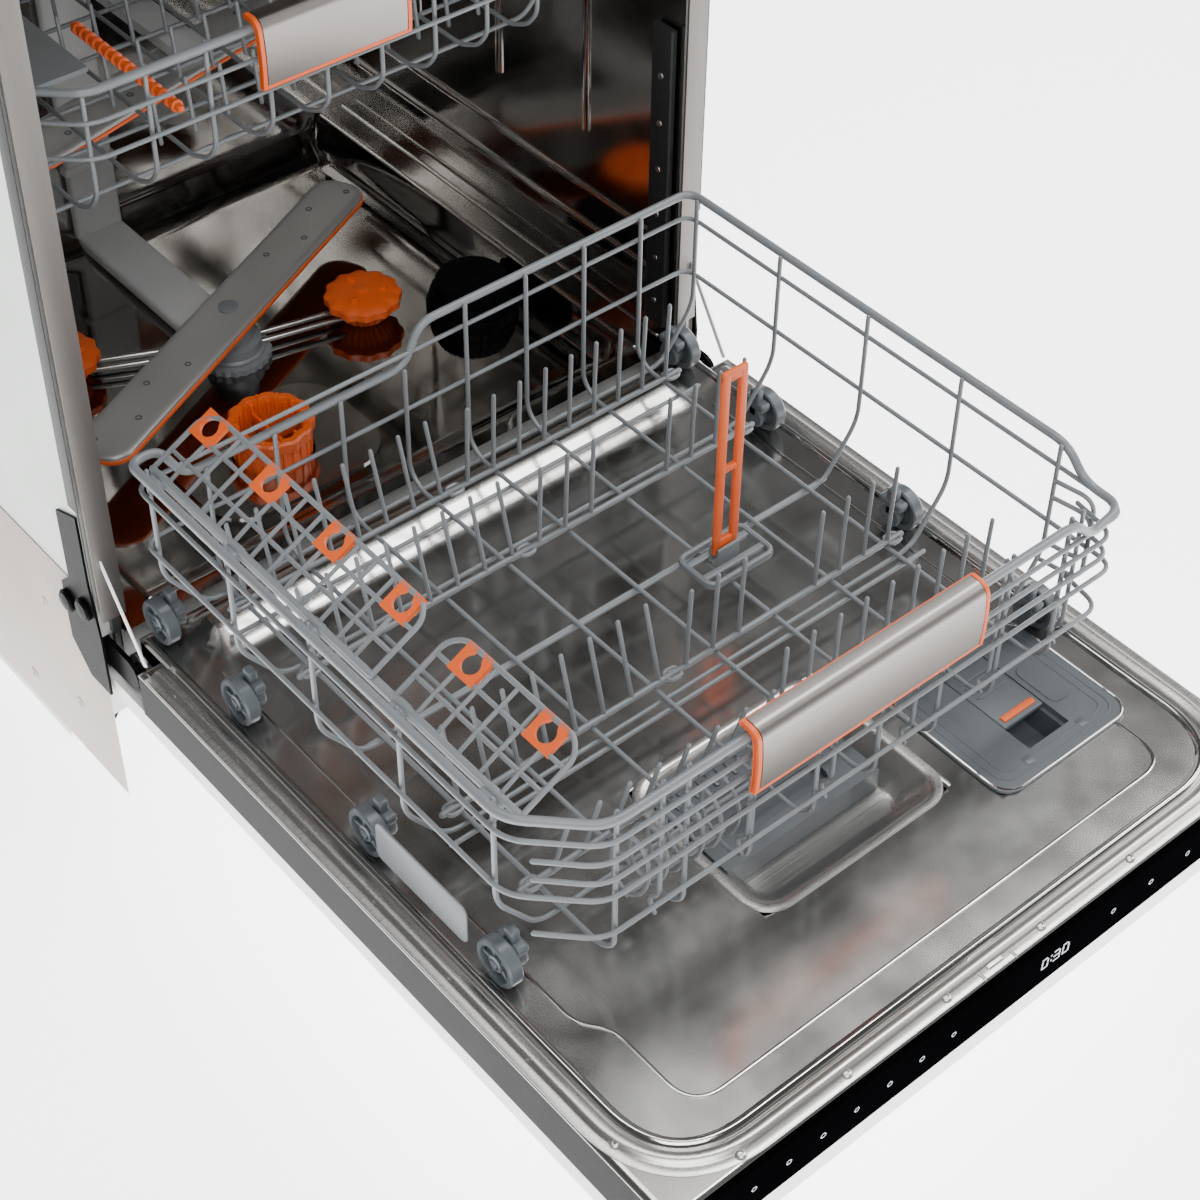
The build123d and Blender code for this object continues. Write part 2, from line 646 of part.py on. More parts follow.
def post_base():
    """Flat plastic base clipped on the floor wires, with two lugs that hold the post's pin."""
    top = LONG_WIRE_Z + WIRE_R
    base = block(POST_X - 38, POST_X + 42, POST_Y - 28, POST_Y + 27, top, top + 4)
    for side in (-1, 1):
        y0, y1 = sorted((POST_Y + side * 3, POST_Y + side * 6.5))
        base += block(POST_X - 8, POST_X + 8, y0, y1, top + 4, POST_Z + 6)
    return [base + rod((POST_X, POST_Y - 6, POST_Z), (POST_X, POST_Y + 6, POST_Z), POST_PIN_R)]


def glass_loops():
    """Row of oval loops that hold small glasses, on a bar near the front left corner."""
    z0 = LONG_WIRE_Z + WIRE_R
    solids = [block(-172, -78, -464, -456, z0, z0 + 4)]
    for i in range(6):
        loop = extrude(Ellipse(20, 24) - Ellipse(16.5, 20.5), 3)
        solids.append(Pos(-168 + 16 * i, -460, z0 + 4 + 24) * (Rot(0, 90, 0) * (Rot(0, 0, 90) * loop)))
    return solids


# ------------------------------------------------------------------ upper rack
def upper_basket():
    """Wire basket of the upper rack, shallower than the lower one."""
    rear, front, half = UPPER_REAR_Y, UPPER_FRONT_Y, UPPER_HALF
    floor = UPPER_FLOOR_Z
    wires = []
    for x in (-200, -140, -80, -20, 40, 100, 160, 210):
        wires.append(rod((x, rear - 8, floor), (x, front + 8, floor), WIRE_R))
    inside = half - RIM_R - WIRE_R
    for i in range(7):
        y = front + 50 + i * 54
        wires.append(rod((-inside + 9, y, floor - 5), (inside - 9, y, floor - 5), WIRE_R))
        for side in (-1, 1):
            wires.append(rod((side * inside, y, floor - 5), (side * inside, y, UPPER_RIM_Z), WIRE_R))
    for x in (-170, -100, 100, 170):
        for y in (front + RIM_R + WIRE_R, rear - RIM_R - WIRE_R):
            wires.append(rod((x, y, floor + 5), (x, y, UPPER_RIM_Z), WIRE_R))
    wires += wire_ring(half, rear, front, 40, UPPER_RIM_Z, RIM_R)
    wires += wire_ring(half - 1, rear - 1, front + 1, 40, 550, WIRE_R)
    return wires


def upper_shelf():
    return [block(-228, -150, 170, 420, 560, 564)]


def comb_rod():
    """Orange knurled rod along the rack on which glasses lean."""
    return [rod((-122, 90, 556), (-122, 240, 556), 5)]


def upper_slides():
    """C-section runners on both sides of the rack; they roll on the tub's rollers."""
    solids = []
    for side in (-1, 1):
        y0, y1 = 90, 484
        z = UPPER_RAIL_Z
        web = block(*sorted((side * 262, side * 263.5)), y0, y1, z - 13, z + 13)
        top = block(*sorted((side * 263.5, side * 276)), y0, y1, z + ROLLER_R + 0.3, z + 13)
        low = block(*sorted((side * 263.5, side * 276)), y0, y1, z - 13, z - 11.5)
        solids += [web, top, low]
        for y in (150, 420):
            solids.append(block(*sorted((side * (UPPER_HALF + 2), side * 262)), y, y + 14, z - 8, z + 8))
    return solids


def roller_pair(y):
    """A left and a right roller on the tub's side walls."""
    rollers = []
    for side in (-1, 1):
        roller = cross_shaft(side * 266, side * 275, y, UPPER_RAIL_Z, ROLLER_R)
        rollers.append(roller - cross_shaft(side * 265, side * 276, y, UPPER_RAIL_Z, 3.05))
    return rollers


def arm_blade(half, width, thick):
    """Flat spray-arm blade with rounded tips and a wider middle, its underside at z = 0."""
    blade = rounded_plate(2 * half, width, width / 2 - 0.5, thick)
    return blade + extrude(Circle(width * 0.62), thick)


def lower_arm():
    blade = arm_blade(ARM_HALF, 54, ARM_THICK) - Cylinder(9 + RUNNING_FIT, 60)
    return [Pos(HUB_X, HUB_Y, ARM_Z) * (Rot(0, 0, ARM_TURN) * blade)]


def upper_arm():
    blade = arm_blade(UPPER_ARM_HALF, 48, 11) - Cylinder(7 + RUNNING_FIT, 60)
    return [Pos(HUB_X, UPPER_ARM_Y, UPPER_ARM_Z) * (Rot(0, 0, 14) * blade)]


def upper_arm_feed():
    """Pipe under the upper rack from the wall port to the arm, and the arm's pin."""
    z = UPPER_ARM_Z + 11 + 9
    pin = post(HUB_X, UPPER_ARM_Y, UPPER_ARM_Z - 3, z, 7)
    collar = post(HUB_X, UPPER_ARM_Y, UPPER_ARM_Z - 6, UPPER_ARM_Z - 1, 13)
    pipe = block(HUB_X - 14, HUB_X + 14, UPPER_ARM_Y - 14, 462, z - 7, z + 3)
    elbow = block(HUB_X - 14, HUB_X + 14, 462, 476, UPPER_ARM_Z - 8, z + 3)
    return [pin + collar + pipe + elbow]


NODES = {
    "tub_wrapper": tub_wrapper,
    "tub_floor": tub_floor,
    "front_frame": front_frame,
    "door_gasket": door_gasket,
    "base_tray": base_tray,
    "kick_plate": kick_plate,
    "outer_panels": outer_panels,
    "insulation": insulation,
    "levelling_feet": levelling_feet,
    "hinge_brackets": hinge_brackets,
    "circulation_pump": circulation_pump,
    "sump_bowl": sump_bowl,
    "softener_tank": softener_tank,
    "supply_fittings": supply_fittings,
    "counterweight": counterweight,
    "feed_duct": feed_duct,
    "filter_plate": filter_plate,
    "filter_cup": filter_cup,
    "salt_cap": salt_cap,
    "floor_jets": floor_jets,
    "lower_arm_hub": lower_arm_hub,
    "upper_roller_front": lambda: roller_pair(ROLLER_Y[0]),
    "upper_roller_rear": lambda: roller_pair(ROLLER_Y[1]),
    "door_liner": door_liner,
    "door_shell": door_shell,
    "furniture_panel": furniture_panel,
    "control_strip": control_strip,
    "door_screws": door_screws,
    "dispenser_body": dispenser_body,
    "dispenser_lid": dispenser_lid,
    "door_pocket": door_pocket,
    "pocket_unit": pocket_unit,
    "hinge_arms": hinge_arms,
    "lower_basket": lower_basket,
    "wheel_carriers": wheel_carriers,
    "wheels_1": lambda: wheel_pair(WHEEL_Y[0]),
    "wheels_2": lambda: wheel_pair(WHEEL_Y[1]),
    "wheels_3": lambda: wheel_pair(WHEEL_Y[2]),
    "wheels_4": lambda: wheel_pair(WHEEL_Y[3]),
    "lower_handle": lambda: handle_plate(RACK_FRONT_Y, RIM_Z, LOWER_GRIP_HALF - 2),
    "lower_handle_grip": lambda: handle_grip(RACK_FRONT_Y, RIM_Z, LOWER_GRIP_HALF),
    "shelf_rail": shelf_rail,
    "cup_shelf_rear": lambda: cup_shelf(*SHELF_REAR),
    "cup_shelf_front": lambda: cup_shelf(*SHELF_FRONT),
    "tine_row_1": lambda: tine_row(-70, 15, 0),
    "tine_row_2": lambda: tine_row(-160, 15, 0, POST_GAP),
    "tine_row_3": lambda: tine_row(-330, 15, 0, POST_GAP),
    "tine_row_4": lambda: tine_row(-415, -15, TINE_PITCH / 2),
    "stem_post": stem_post,
    "post_base": post_base,
    "glass_loops": glass_loops,
    "upper_basket": upper_basket,
    "upper_handle": lambda: handle_plate(UPPER_FRONT_Y, UPPER_RIM_Z, UPPER_GRIP_HALF - 2),
    "upper_handle_grip": lambda: handle_grip(UPPER_FRONT_Y, UPPER_RIM_Z, UPPER_GRIP_HALF),
    "upper_shelf": upper_shelf,
    "comb_rod": comb_rod,
    "upper_slides": upper_slides,
    "upper_arm_feed": upper_arm_feed,
    "upper_arm": upper_arm,
    "lower_arm": lower_arm,
}


def main():
    os.makedirs("parts", exist_ok=True)
    for name, make in NODES.items():
        solids = []
        for shape in make():
            solids += shape.solids()
        moved = [Pos(0, DATUM_SHIFT, 0) * solid for solid in solids]
        export_step(Compound(children=moved), f"parts/{name}.step")


if __name__ == "__main__":
    main()
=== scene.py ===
import json
import math
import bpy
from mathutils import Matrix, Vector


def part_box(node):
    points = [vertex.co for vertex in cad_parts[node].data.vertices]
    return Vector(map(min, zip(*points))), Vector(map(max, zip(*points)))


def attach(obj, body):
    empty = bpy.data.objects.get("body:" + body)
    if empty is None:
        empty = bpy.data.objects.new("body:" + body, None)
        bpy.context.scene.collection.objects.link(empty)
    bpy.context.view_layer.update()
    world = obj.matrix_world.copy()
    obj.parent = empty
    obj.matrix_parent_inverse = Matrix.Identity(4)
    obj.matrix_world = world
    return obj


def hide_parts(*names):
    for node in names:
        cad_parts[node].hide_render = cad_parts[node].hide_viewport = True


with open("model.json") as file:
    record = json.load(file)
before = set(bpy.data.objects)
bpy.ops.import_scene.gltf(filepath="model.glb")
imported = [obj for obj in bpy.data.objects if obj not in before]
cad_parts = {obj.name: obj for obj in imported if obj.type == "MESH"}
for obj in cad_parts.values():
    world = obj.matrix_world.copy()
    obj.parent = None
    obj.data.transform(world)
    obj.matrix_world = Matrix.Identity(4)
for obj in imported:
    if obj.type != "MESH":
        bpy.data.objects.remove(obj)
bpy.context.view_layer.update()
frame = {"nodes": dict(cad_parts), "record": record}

from types import SimpleNamespace

import bmesh
import bpy
import numpy as np
from bpy.props import FloatProperty, PointerProperty, StringProperty
from mathutils import Matrix, Vector

bl_info = {
    "name": "Dishwasher Finish",
    "version": (1, 0, 0),
    "blender": (4, 5, 0),
    "location": "3D View > Sidebar > Dishwasher",
    "description": "Builds the visible surfaces and finishes of a built-in dishwasher round its frame",
    "category": "Object",
}

MM = 0.001
POLE = 0.2  # millimetres from its axis at which a turned profile ends, in a small cap
X = np.array((1.0, 0.0, 0.0))
Y = np.array((0.0, 1.0, 0.0))
Z = np.array((0.0, 0.0, 1.0))


# ------------------------------------------------------------------ properties
class DishwasherSizes(bpy.types.PropertyGroup):
    """Sizes that a user would change without moving any working part."""
    rim: FloatProperty(name="Rim wire", description="Radius of a basket's rim wire",
                       default=3.5 * MM, unit="LENGTH")
    wire: FloatProperty(name="Basket wire", description="Radius of the other basket wires",
                        default=1.9 * MM, unit="LENGTH")
    tine: FloatProperty(name="Tine", description="Radius of a folding tine",
                        default=1.8 * MM, unit="LENGTH")
    bend: FloatProperty(name="Wire bend", description="How far a wire's bend reaches from its corner",
                        default=14 * MM, unit="LENGTH")
    bead: FloatProperty(name="Liner bead", description="Radius of the bead pressed round the door's liner",
                        default=3.0 * MM, unit="LENGTH")


class DishwasherColours(bpy.types.PropertyGroup):
    """Colours as sRGB hex values."""
    steel: StringProperty(name="Steel", description="Stainless steel", default="#BDBBB8")
    wire: StringProperty(name="Wire", description="Nylon coat of the racks", default="#6C7073")
    accent: StringProperty(name="Accent", description="Orange plastic", default="#D4561A")
    grey: StringProperty(name="Grey plastic", description="Wheels, shelves and carriers", default="#6B6F72")
    dark: StringProperty(name="Dark plastic", description="Dispenser and vent unit", default="#4C5155")
    pale: StringProperty(name="Pale plastic", description="Water duct and base", default="#B9BBBB")
    cabinet: StringProperty(name="Cabinet", description="Coated side sheet", default="#C9D2CA")
    front: StringProperty(name="Kitchen front", description="White lacquered panel", default="#F2F2F0")


# ------------------------------------------------------------------ surfaces as whole arrays
def corners(node):
    """Lowest and highest corner of a frame node, in millimetres as every shape here is until piece()."""
    low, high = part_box(node)
    return np.array(low) / MM, np.array(high) / MM


def middle(node):
    """Centre of a frame node's box."""
    low, high = corners(node)
    return (low + high) / 2


def grid(points, around=False, caps=False):
    """Quads between neighbours of a (rows, columns, 3) array; around joins the last column to the
    first, and caps closes the first and last row with one polygon each."""
    rows, columns = points.shape[:2]
    index = np.arange(rows * columns).reshape(rows, columns)
    if around:
        right = np.roll(index, -1, axis=1)
    else:
        right = index[:, 1:]
        index = index[:, :-1]
    quads = np.stack((index[:-1], right[:-1], right[1:], index[1:]), axis=-1).reshape(-1, 4)
    faces = quads.tolist()
    if caps:
        faces.append(list(range(columns))[::-1])
        faces.append(list(range((rows - 1) * columns, rows * columns)))
    return points.reshape(-1, 3), faces


def smooth_path(points, bend, steps=6, closed=False):
    """Corner points as a line: each corner becomes a quadratic curve that begins and ends at most
    bend away from it, or at 0.45 of the shorter run beside it."""
    p = np.asarray(points, float)
    before = np.roll(p, 1, axis=0) - p
    after = np.roll(p, -1, axis=0) - p
    length_before = np.linalg.norm(before, axis=1)
    length_after = np.linalg.norm(after, axis=1)
    reach = np.minimum(bend, 0.45 * np.minimum(length_before, length_after))[:, None]
    start = p + before / np.maximum(length_before, 1e-9)[:, None] * reach
    end = p + after / np.maximum(length_after, 1e-9)[:, None] * reach
    t = np.linspace(0, 1, steps)[None, :, None]
    curve = (1 - t) ** 2 * start[:, None] + 2 * t * (1 - t) * p[:, None] + t ** 2 * end[:, None]
    if closed:
        return curve.reshape(-1, 3)
    return np.concatenate((p[:1], curve[1:-1].reshape(-1, 3), p[-1:]))


def tube(line, radius, across, sides=10, closed=False, flat=1.0):
    """A circle carried along a line. Its second direction is the line's direction crossed with
    across, so a bend that lies square to across never twists; flat squeezes it along across."""
    line = np.asarray(line, float)
    if closed:
        tangent = np.roll(line, -1, axis=0) - np.roll(line, 1, axis=0)
    else:
        tangent = np.gradient(line, axis=0)
    tangent /= np.linalg.norm(tangent, axis=1)[:, None]
    side = np.cross(tangent, across)
    side /= np.linalg.norm(side, axis=1)[:, None]
    up = np.cross(side, tangent)
    centre = line
    scale = np.ones(len(line))
    if not closed:
        dome = radius * np.array((1.0, 0.75, 0.3))[:, None]
        first = line[0] - tangent[0] * dome
        last = line[-1] + tangent[-1] * dome[::-1]
        centre = np.concatenate((first, line, last))
        side = np.concatenate((np.repeat(side[:1], 3, axis=0), side, np.repeat(side[-1:], 3, axis=0)))
        up = np.concatenate((np.repeat(up[:1], 3, axis=0), up, np.repeat(up[-1:], 3, axis=0)))
        scale = np.concatenate(((0.25, 0.66, 0.95), scale, (0.95, 0.66, 0.25)))
    angle = np.linspace(0, 2 * np.pi, sides, endpoint=False)
    ring = side[:, None] * np.cos(angle)[None, :, None] + flat * up[:, None] * np.sin(angle)[None, :, None]
    points = centre[:, None] + radius * scale[:, None, None] * ring
    if closed:
        points = np.concatenate((points, points[:1]))
    return grid(points, around=True, caps=not closed)


def wire(points, bend, radius, across, sides=10, steps=6, closed=False, flat=1.0):
    """A round wire through corner points, bent smoothly at each."""
    return tube(smooth_path(points, bend, steps, closed), radius, across, sides, closed, flat)


def lathe(profile, centre, axis=Z, sides=48, ripple=0.0, lobes=0, first=X):
    """A profile of (radius, height) turned about an axis; ripple makes its radius swell and shrink
    lobes times in a turn, as a fraction of the radius."""
    profile = np.asarray(profile, float)
    angle = np.linspace(0, 2 * np.pi, sides, endpoint=False)
    swell = 1 + ripple * np.cos(lobes * angle)
    second = np.cross(axis, first)
    ring = first * np.cos(angle)[:, None] + second * np.sin(angle)[:, None]
    radial = profile[:, 0][:, None, None] * (ring * swell[:, None])[None]
    points = np.asarray(centre, float) + radial + profile[:, 1][:, None, None] * axis
    return grid(points, around=True, caps=True)


def lathed_ring(profile, centre, **how):
    """A closed profile turned about an axis it stays clear of, so it needs no caps."""
    points, faces = lathe(profile, centre, **how)
    return points, faces[:-2]


def both_sides(near, far):
    """(side, x0, x1) on the left and on the right: the span between two distances from the middle."""
    return [(side, *sorted((side * near, side * far))) for side in (-1, 1)]


def rounded_box(low, high, radius, steps=4):
    """A box whose edges are rounded: a sphere's grid of latitudes and longitudes, cut into octants
    that are pushed apart to the box's corners."""
    low = np.asarray(low, float)
    high = np.asarray(high, float)
    radius = min(radius, 0.499 * float((high - low).min()))
    half = (high - low) / 2 - radius
    part = np.linspace(0, np.pi / 2, steps + 1)
    latitude = np.concatenate((part - np.pi / 2, part))
    above = np.repeat((-1.0, 1.0), steps + 1)
    longitude = np.concatenate([part + quarter * np.pi / 2 for quarter in range(4)])
    sign_x = np.repeat((1.0, -1.0, -1.0, 1.0), steps + 1)
    sign_y = np.repeat((1.0, 1.0, -1.0, -1.0), steps + 1)
    wide = np.cos(latitude)[:, None]
    x = sign_x[None] * half[0] + radius * wide * np.cos(longitude)[None]
    y = sign_y[None] * half[1] + radius * wide * np.sin(longitude)[None]
    z = (above * half[2] + radius * np.sin(latitude))[:, None] + 0 * x
    return grid(np.stack((x, y, z), axis=-1) + (low + high) / 2, around=True, caps=True)


def rounded_outline(x0, x1, y0, y1, corner, steps=8):
    """A rectangle with quarter-circle corners, anticlockwise, as (n, 2) points."""
    part = np.linspace(0, np.pi / 2, steps)
    pieces = []
    centres = ((x1, y1, -1, -1), (x0, y1, 1, -1), (x0, y0, 1, 1), (x1, y0, -1, 1))
    for quarter, (x, y, inward_x, inward_y) in enumerate(centres):
        angle = part + quarter * np.pi / 2
        pieces.append(np.stack((x + inward_x * corner + corner * np.cos(angle),
                                y + inward_y * corner + corner * np.sin(angle)), axis=-1))
    return np.concatenate(pieces)


def inset(outline, amount):
    """An outline moved inwards along its own normals."""
    along = np.roll(outline, -1, axis=0) - np.roll(outline, 1, axis=0)
    along /= np.maximum(np.linalg.norm(along, axis=1), 1e-12)[:, None]
    return outline + amount * np.stack((-along[:, 1], along[:, 0]), axis=-1)


def loft(rings):
    """Closed rings, each (outline, height), joined one after another, with both ends capped."""
    rows = [np.column_stack((outline, np.full(len(outline), height))) for outline, height in rings]
    return grid(np.stack(rows), around=True, caps=True)


def slab(outline, bottom, top, bevel):
    """An outline drawn up from bottom to top with a small bevel on both edges."""
    inner = inset(outline, bevel)
    return loft([(inner, bottom), (outline, bottom + bevel), (outline, top - bevel), (inner, top)])


def section_along_x(profile, x0, x1):
    """A closed (y, z) section carried along X and capped."""
    profile = np.asarray(profile, float)
    rows = [np.column_stack((np.full(len(profile), x), profile)) for x in (x0, x1)]
    return grid(np.stack(rows), around=True, caps=True)


def turned(surface, origin, ex, ey, ez):
    """A surface drawn in its own axes and put at origin on three new axes."""
    points, faces = surface
    basis = np.stack((ex, ey, ez))
    return points @ basis + np.asarray(origin, float), faces


def piece(name, surfaces, finish, body, stands_for=()):
    """One object in metres from surfaces in millimetres: doubles merged, normals outward, on its body."""
    points = []
    faces = []
    count = 0
    for surface_points, surface_faces in surfaces:
        points.append(surface_points)
        faces += [[i + count for i in face] for face in surface_faces]
        count += len(surface_points)
    mesh = bpy.data.meshes.new(name)
    mesh.from_pydata((np.concatenate(points) * MM).tolist(), [], faces)
    edit = bmesh.new()
    edit.from_mesh(mesh)
    bmesh.ops.remove_doubles(edit, verts=edit.verts, dist=1e-6)
    bmesh.ops.recalc_face_normals(edit, faces=edit.faces)
    edit.to_mesh(mesh)
    edit.free()
    mesh.polygons.foreach_set("use_smooth", [True] * len(mesh.polygons))
    mesh.set_sharp_from_angle(angle=math.radians(38))
    made = bpy.data.objects.new(name, mesh)
    bpy.context.scene.collection.objects.link(made)
    made.data.materials.append(finish)
    if stands_for:
        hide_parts(*stands_for)
    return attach(made, body)


# ------------------------------------------------------------------ finishes
def colours():
    """The user's colours."""
    return bpy.context.scene.dw_colours


def linear(hex_colour):
    """sRGB hex to linear red, green, blue, alpha."""
    parts = [int(hex_colour[i:i + 2], 16) / 255 for i in (1, 3, 5)]
    flat = [c / 12.92 if c <= 0.04045 else ((c + 0.055) / 1.055) ** 2.4 for c in parts]
    return (*flat, 1.0)


def add(tree, kind, settings=None, links=None):
    """Adds a node, sets its properties and inputs, and links other nodes' outputs to its inputs."""
    node = tree.nodes.new(kind)
    for key, value in (settings or {}).items():
        if key in node.inputs:
            node.inputs[key].default_value = value
        else:
            setattr(node, key, value)
    for key, output in (links or {}).items():
        tree.links.new(output, node.inputs[key])
    return node


def finish(name, colour, metallic, roughness, grain, spread=0.06, bump=0.0, depth=0.1, tint=0.06,
           shader=None):
    """A surface whose grain is noise stretched to real lengths in millimetres. It moves the roughness
    by spread and the height by bump; a broad noise moves the colour by tint, as handling does."""
    made = bpy.data.materials.new(name)
    made.use_nodes = True
    tree = made.node_tree
    tree.nodes.clear()
    where = add(tree, "ShaderNodeTexCoord")
    fine = add(tree, "ShaderNodeMapping", {"Scale": [1 / (g * MM) for g in grain]},
               {"Vector": where.outputs["Object"]})
    noise = add(tree, "ShaderNodeTexNoise", {"Scale": 1.0, "Detail": 3.0}, {"Vector": fine.outputs[0]})
    broad = add(tree, "ShaderNodeTexNoise", {"Scale": 9.0, "Detail": 2.0},
                {"Vector": where.outputs["Object"]})
    rough = add(tree, "ShaderNodeMapRange",
                {"From Min": 0.3, "From Max": 0.7, "To Min": max(0.02, roughness - spread),
                 "To Max": roughness + spread}, {"Value": noise.outputs[0]})
    base = linear(colour)
    dark = tuple(c * (1 - tint) for c in base[:3]) + (1.0,)
    light = tuple(min(1.0, c * (1 + tint)) for c in base[:3]) + (1.0,)
    ramp = add(tree, "ShaderNodeValToRGB", {}, {"Fac": broad.outputs[0]})
    ramp.color_ramp.elements[0].position = 0.35
    ramp.color_ramp.elements[0].color = dark
    ramp.color_ramp.elements[1].position = 0.65
    ramp.color_ramp.elements[1].color = light
    height = add(tree, "ShaderNodeBump", {"Strength": bump, "Distance": depth * MM},
                 {"Height": noise.outputs[0]})
    body = add(tree, "ShaderNodeBsdfPrincipled", {"Metallic": metallic},
               {"Base Color": ramp.outputs[0], "Roughness": rough.outputs[0],
                "Normal": height.outputs[0]})
    for key, value in (shader or {}).items():
        body.inputs[key].default_value = value
    add(tree, "ShaderNodeOutputMaterial", {}, {"Surface": body.outputs[0]})
    return made


def mirror_steel():
    """Bright-annealed stainless sheet: a near mirror, a little uneven from pressing."""
    return finish("Bright annealed stainless", colours().steel, 1.0, 0.12,
                  (60, 60, 60), spread=0.03, bump=0.06, depth=0.6, tint=0.03)


def brushed_steel():
    """Stainless brushed along X: fine long lines that stretch the highlights across them."""
    return finish("Brushed stainless", colours().steel, 1.0, 0.3,
                  (90, 0.4, 0.4), spread=0.06, bump=0.03, depth=0.03, tint=0.02)


def liner_steel():
    """Stainless sheet of the door's inside: mirrors what is close and blurs what is further away."""
    return finish("Rolled stainless", colours().steel, 1.0, 0.2,
                  (60, 60, 60), spread=0.04, bump=0.06, depth=0.6, tint=0.03)


def handle_steel():
    """Hairline-ground stainless of the two handles, a tone darker than the liner."""
    return finish("Hairline stainless", "#8C8784", 1.0, 0.36, (90, 0.4, 0.4), spread=0.06, bump=0.04, depth=0.03,
                  tint=0.03)


def post_steel():
    """Ground stainless on the faces of the opening's posts: a broad dull sheen, a middle grey to the eye."""
    return finish("Ground stainless post", "#6E6A67", 0.9, 0.5, (0.5, 0.5, 60), spread=0.05, bump=0.03, depth=0.03,
                  tint=0.03)


def satin_steel():
    """Ground stainless of the opening's posts: a wide soft sheen."""
    return finish("Ground stainless", "#CFCDCA", 0.85, 0.46, (0.5, 0.5, 60), spread=0.05, bump=0.03, depth=0.03,
                  tint=0.02)


def floor_steel_painted_shade():
    """The tub floor's stainless: darker to the eye, since it mirrors the tub's dark inside sharply."""
    return finish("Polished stainless", "#8F8D8B", 1.0, 0.07, (50, 50, 50), spread=0.02, bump=0.08, depth=0.5,
                  tint=0.03)


def coated_wire():
    """Nylon powder coat on steel wire: a soft satin with a faint orange-peel."""
    return finish("Nylon coated wire", colours().wire, 0.0, 0.38,
                  (2, 2, 2), spread=0.06, bump=0.2, depth=0.05, tint=0.05, shader={"Coat Weight": 0.15})


def orange_plastic():
    """Orange polypropylene, moulded with a fine spark-eroded grain."""
    return finish("Orange polypropylene", colours().accent, 0.0, 0.42,
                  (0.9, 0.9, 0.9), spread=0.06, bump=0.25, depth=0.04, tint=0.05,
                  shader={"Subsurface Weight": 0.05})


def grey_plastic():
    """Grey polypropylene of the racks' fittings."""
    return finish("Grey polypropylene", colours().grey, 0.0, 0.45,
                  (1, 1, 1), spread=0.06, bump=0.25, depth=0.04)


def dark_plastic():
    """Dark-grey glass-filled polypropylene with a dull sheen."""
    return finish("Dark grey polypropylene", colours().dark, 0.0, 0.4,
                  (1, 1, 1), spread=0.06, bump=0.2, depth=0.04)


def wheel_plastic():
    """Darker grey polyoxymethylene of the wheels and their brackets, smooth and slightly greasy."""
    return finish("Grey polyoxymethylene", "#4E5458", 0.0, 0.35, (1, 1, 1), spread=0.06, bump=0.15, depth=0.04)


def pale_plastic():
    """Light-grey polypropylene, as moulded."""
    return finish("Light grey polypropylene", colours().pale, 0.0, 0.4,
                  (1.2, 1.2, 1.2), spread=0.06, bump=0.2, depth=0.04)


def black_plastic():
    """Black moulded plastic with a fine grain."""
    return finish("Black polypropylene", "#08090A", 0.0, 0.42, (1, 1, 1), spread=0.08, bump=0.25,
                  depth=0.05, shader={"Specular IOR Level": 0.04})


def black_gloss():
    """Black lacquered strip over the touch fields."""
    return finish("Black gloss lacquer", "#040405", 0.0, 0.45, (30, 30, 30), spread=0.05, tint=0.1,
                  shader={"Specular IOR Level": 0.0})


def rubber():
    """Black silicone seal."""
    return finish("Black silicone", "#101112", 0.0, 0.6, (1.5, 1.5, 1.5), spread=0.08, bump=0.2)


def cabinet_sheet():
    """Galvanised sheet with a pale green-grey coat."""
    return finish("Coated galvanised sheet", colours().cabinet, 0.2, 0.42,
                  (8, 8, 8), spread=0.07, bump=0.1, depth=0.05)


def white_lacquer():
    """White lacquered board of the kitchen front."""
    return finish("White lacquer", colours().front, 0.0, 0.3, (12, 12, 12),
                  spread=0.04, bump=0.05, tint=0.01)


def felt():
    """Needled grey felt: short crossing fibres about 2 mm long."""
    return finish("Needled felt", "#56575A", 0.0, 0.95, (2, 0.4, 0.4), spread=0.04, bump=0.8, depth=0.4,
                  tint=0.15)


def cast_iron():
    """Sand-cast iron ballast."""
    return finish("Sand-cast iron", "#3B3B3D", 0.6, 0.7, (1.5, 1.5, 1.5), spread=0.1, bump=0.7, depth=0.3,
                  tint=0.15)


def lit_mark():
    """White print and lit digits behind the strip."""
    return finish("White print", "#C9D4DC", 0.0, 0.5, (3, 3, 3), tint=0.01,
                  shader={"Emission Color": linear("#C9D4DC"), "Emission Strength": 0.08})


FINISHES = {}


def use(make):
    """Each finish is made once and then shared."""
    if make.__name__ not in FINISHES:
        FINISHES[make.__name__] = make()
    return FINISHES[make.__name__]


def sizes():
    """The user's sizes by name, in millimetres."""
    group = bpy.context.scene.dw_sizes
    return SimpleNamespace(**{name: getattr(group, name) / MM for name in group.__annotations__})


# ------------------------------------------------------------------ frame nodes that keep their shape
NODE_FINISHES = {
    mirror_steel: ("tub_wrapper", "filter_plate"),
    satin_steel: ("front_frame",),
    brushed_steel: ("hinge_arms", "upper_slides"),
    cabinet_sheet: ("outer_panels",),
    pale_plastic: ("base_tray", "kick_plate", "softener_tank", "supply_fittings", "upper_arm_feed"),
    black_plastic: ("door_shell", "hinge_brackets", "circulation_pump", "sump_bowl", "levelling_feet"),
    rubber: ("door_gasket",),
    felt: ("insulation",),
    cast_iron: ("counterweight",),
    white_lacquer: ("furniture_panel",),
    black_gloss: ("control_strip",),
    dark_plastic: ("dispenser_body", "pocket_unit"),
    grey_plastic: ("upper_roller_front", "upper_roller_rear", "upper_shelf"),
}


def finish_nodes():
    """Gives every kept frame node its finish."""
    for make, nodes in NODE_FINISHES.items():
        for node in nodes:
            shown = frame["nodes"][node]
            shown.data.materials.clear()
            shown.data.materials.append(use(make))


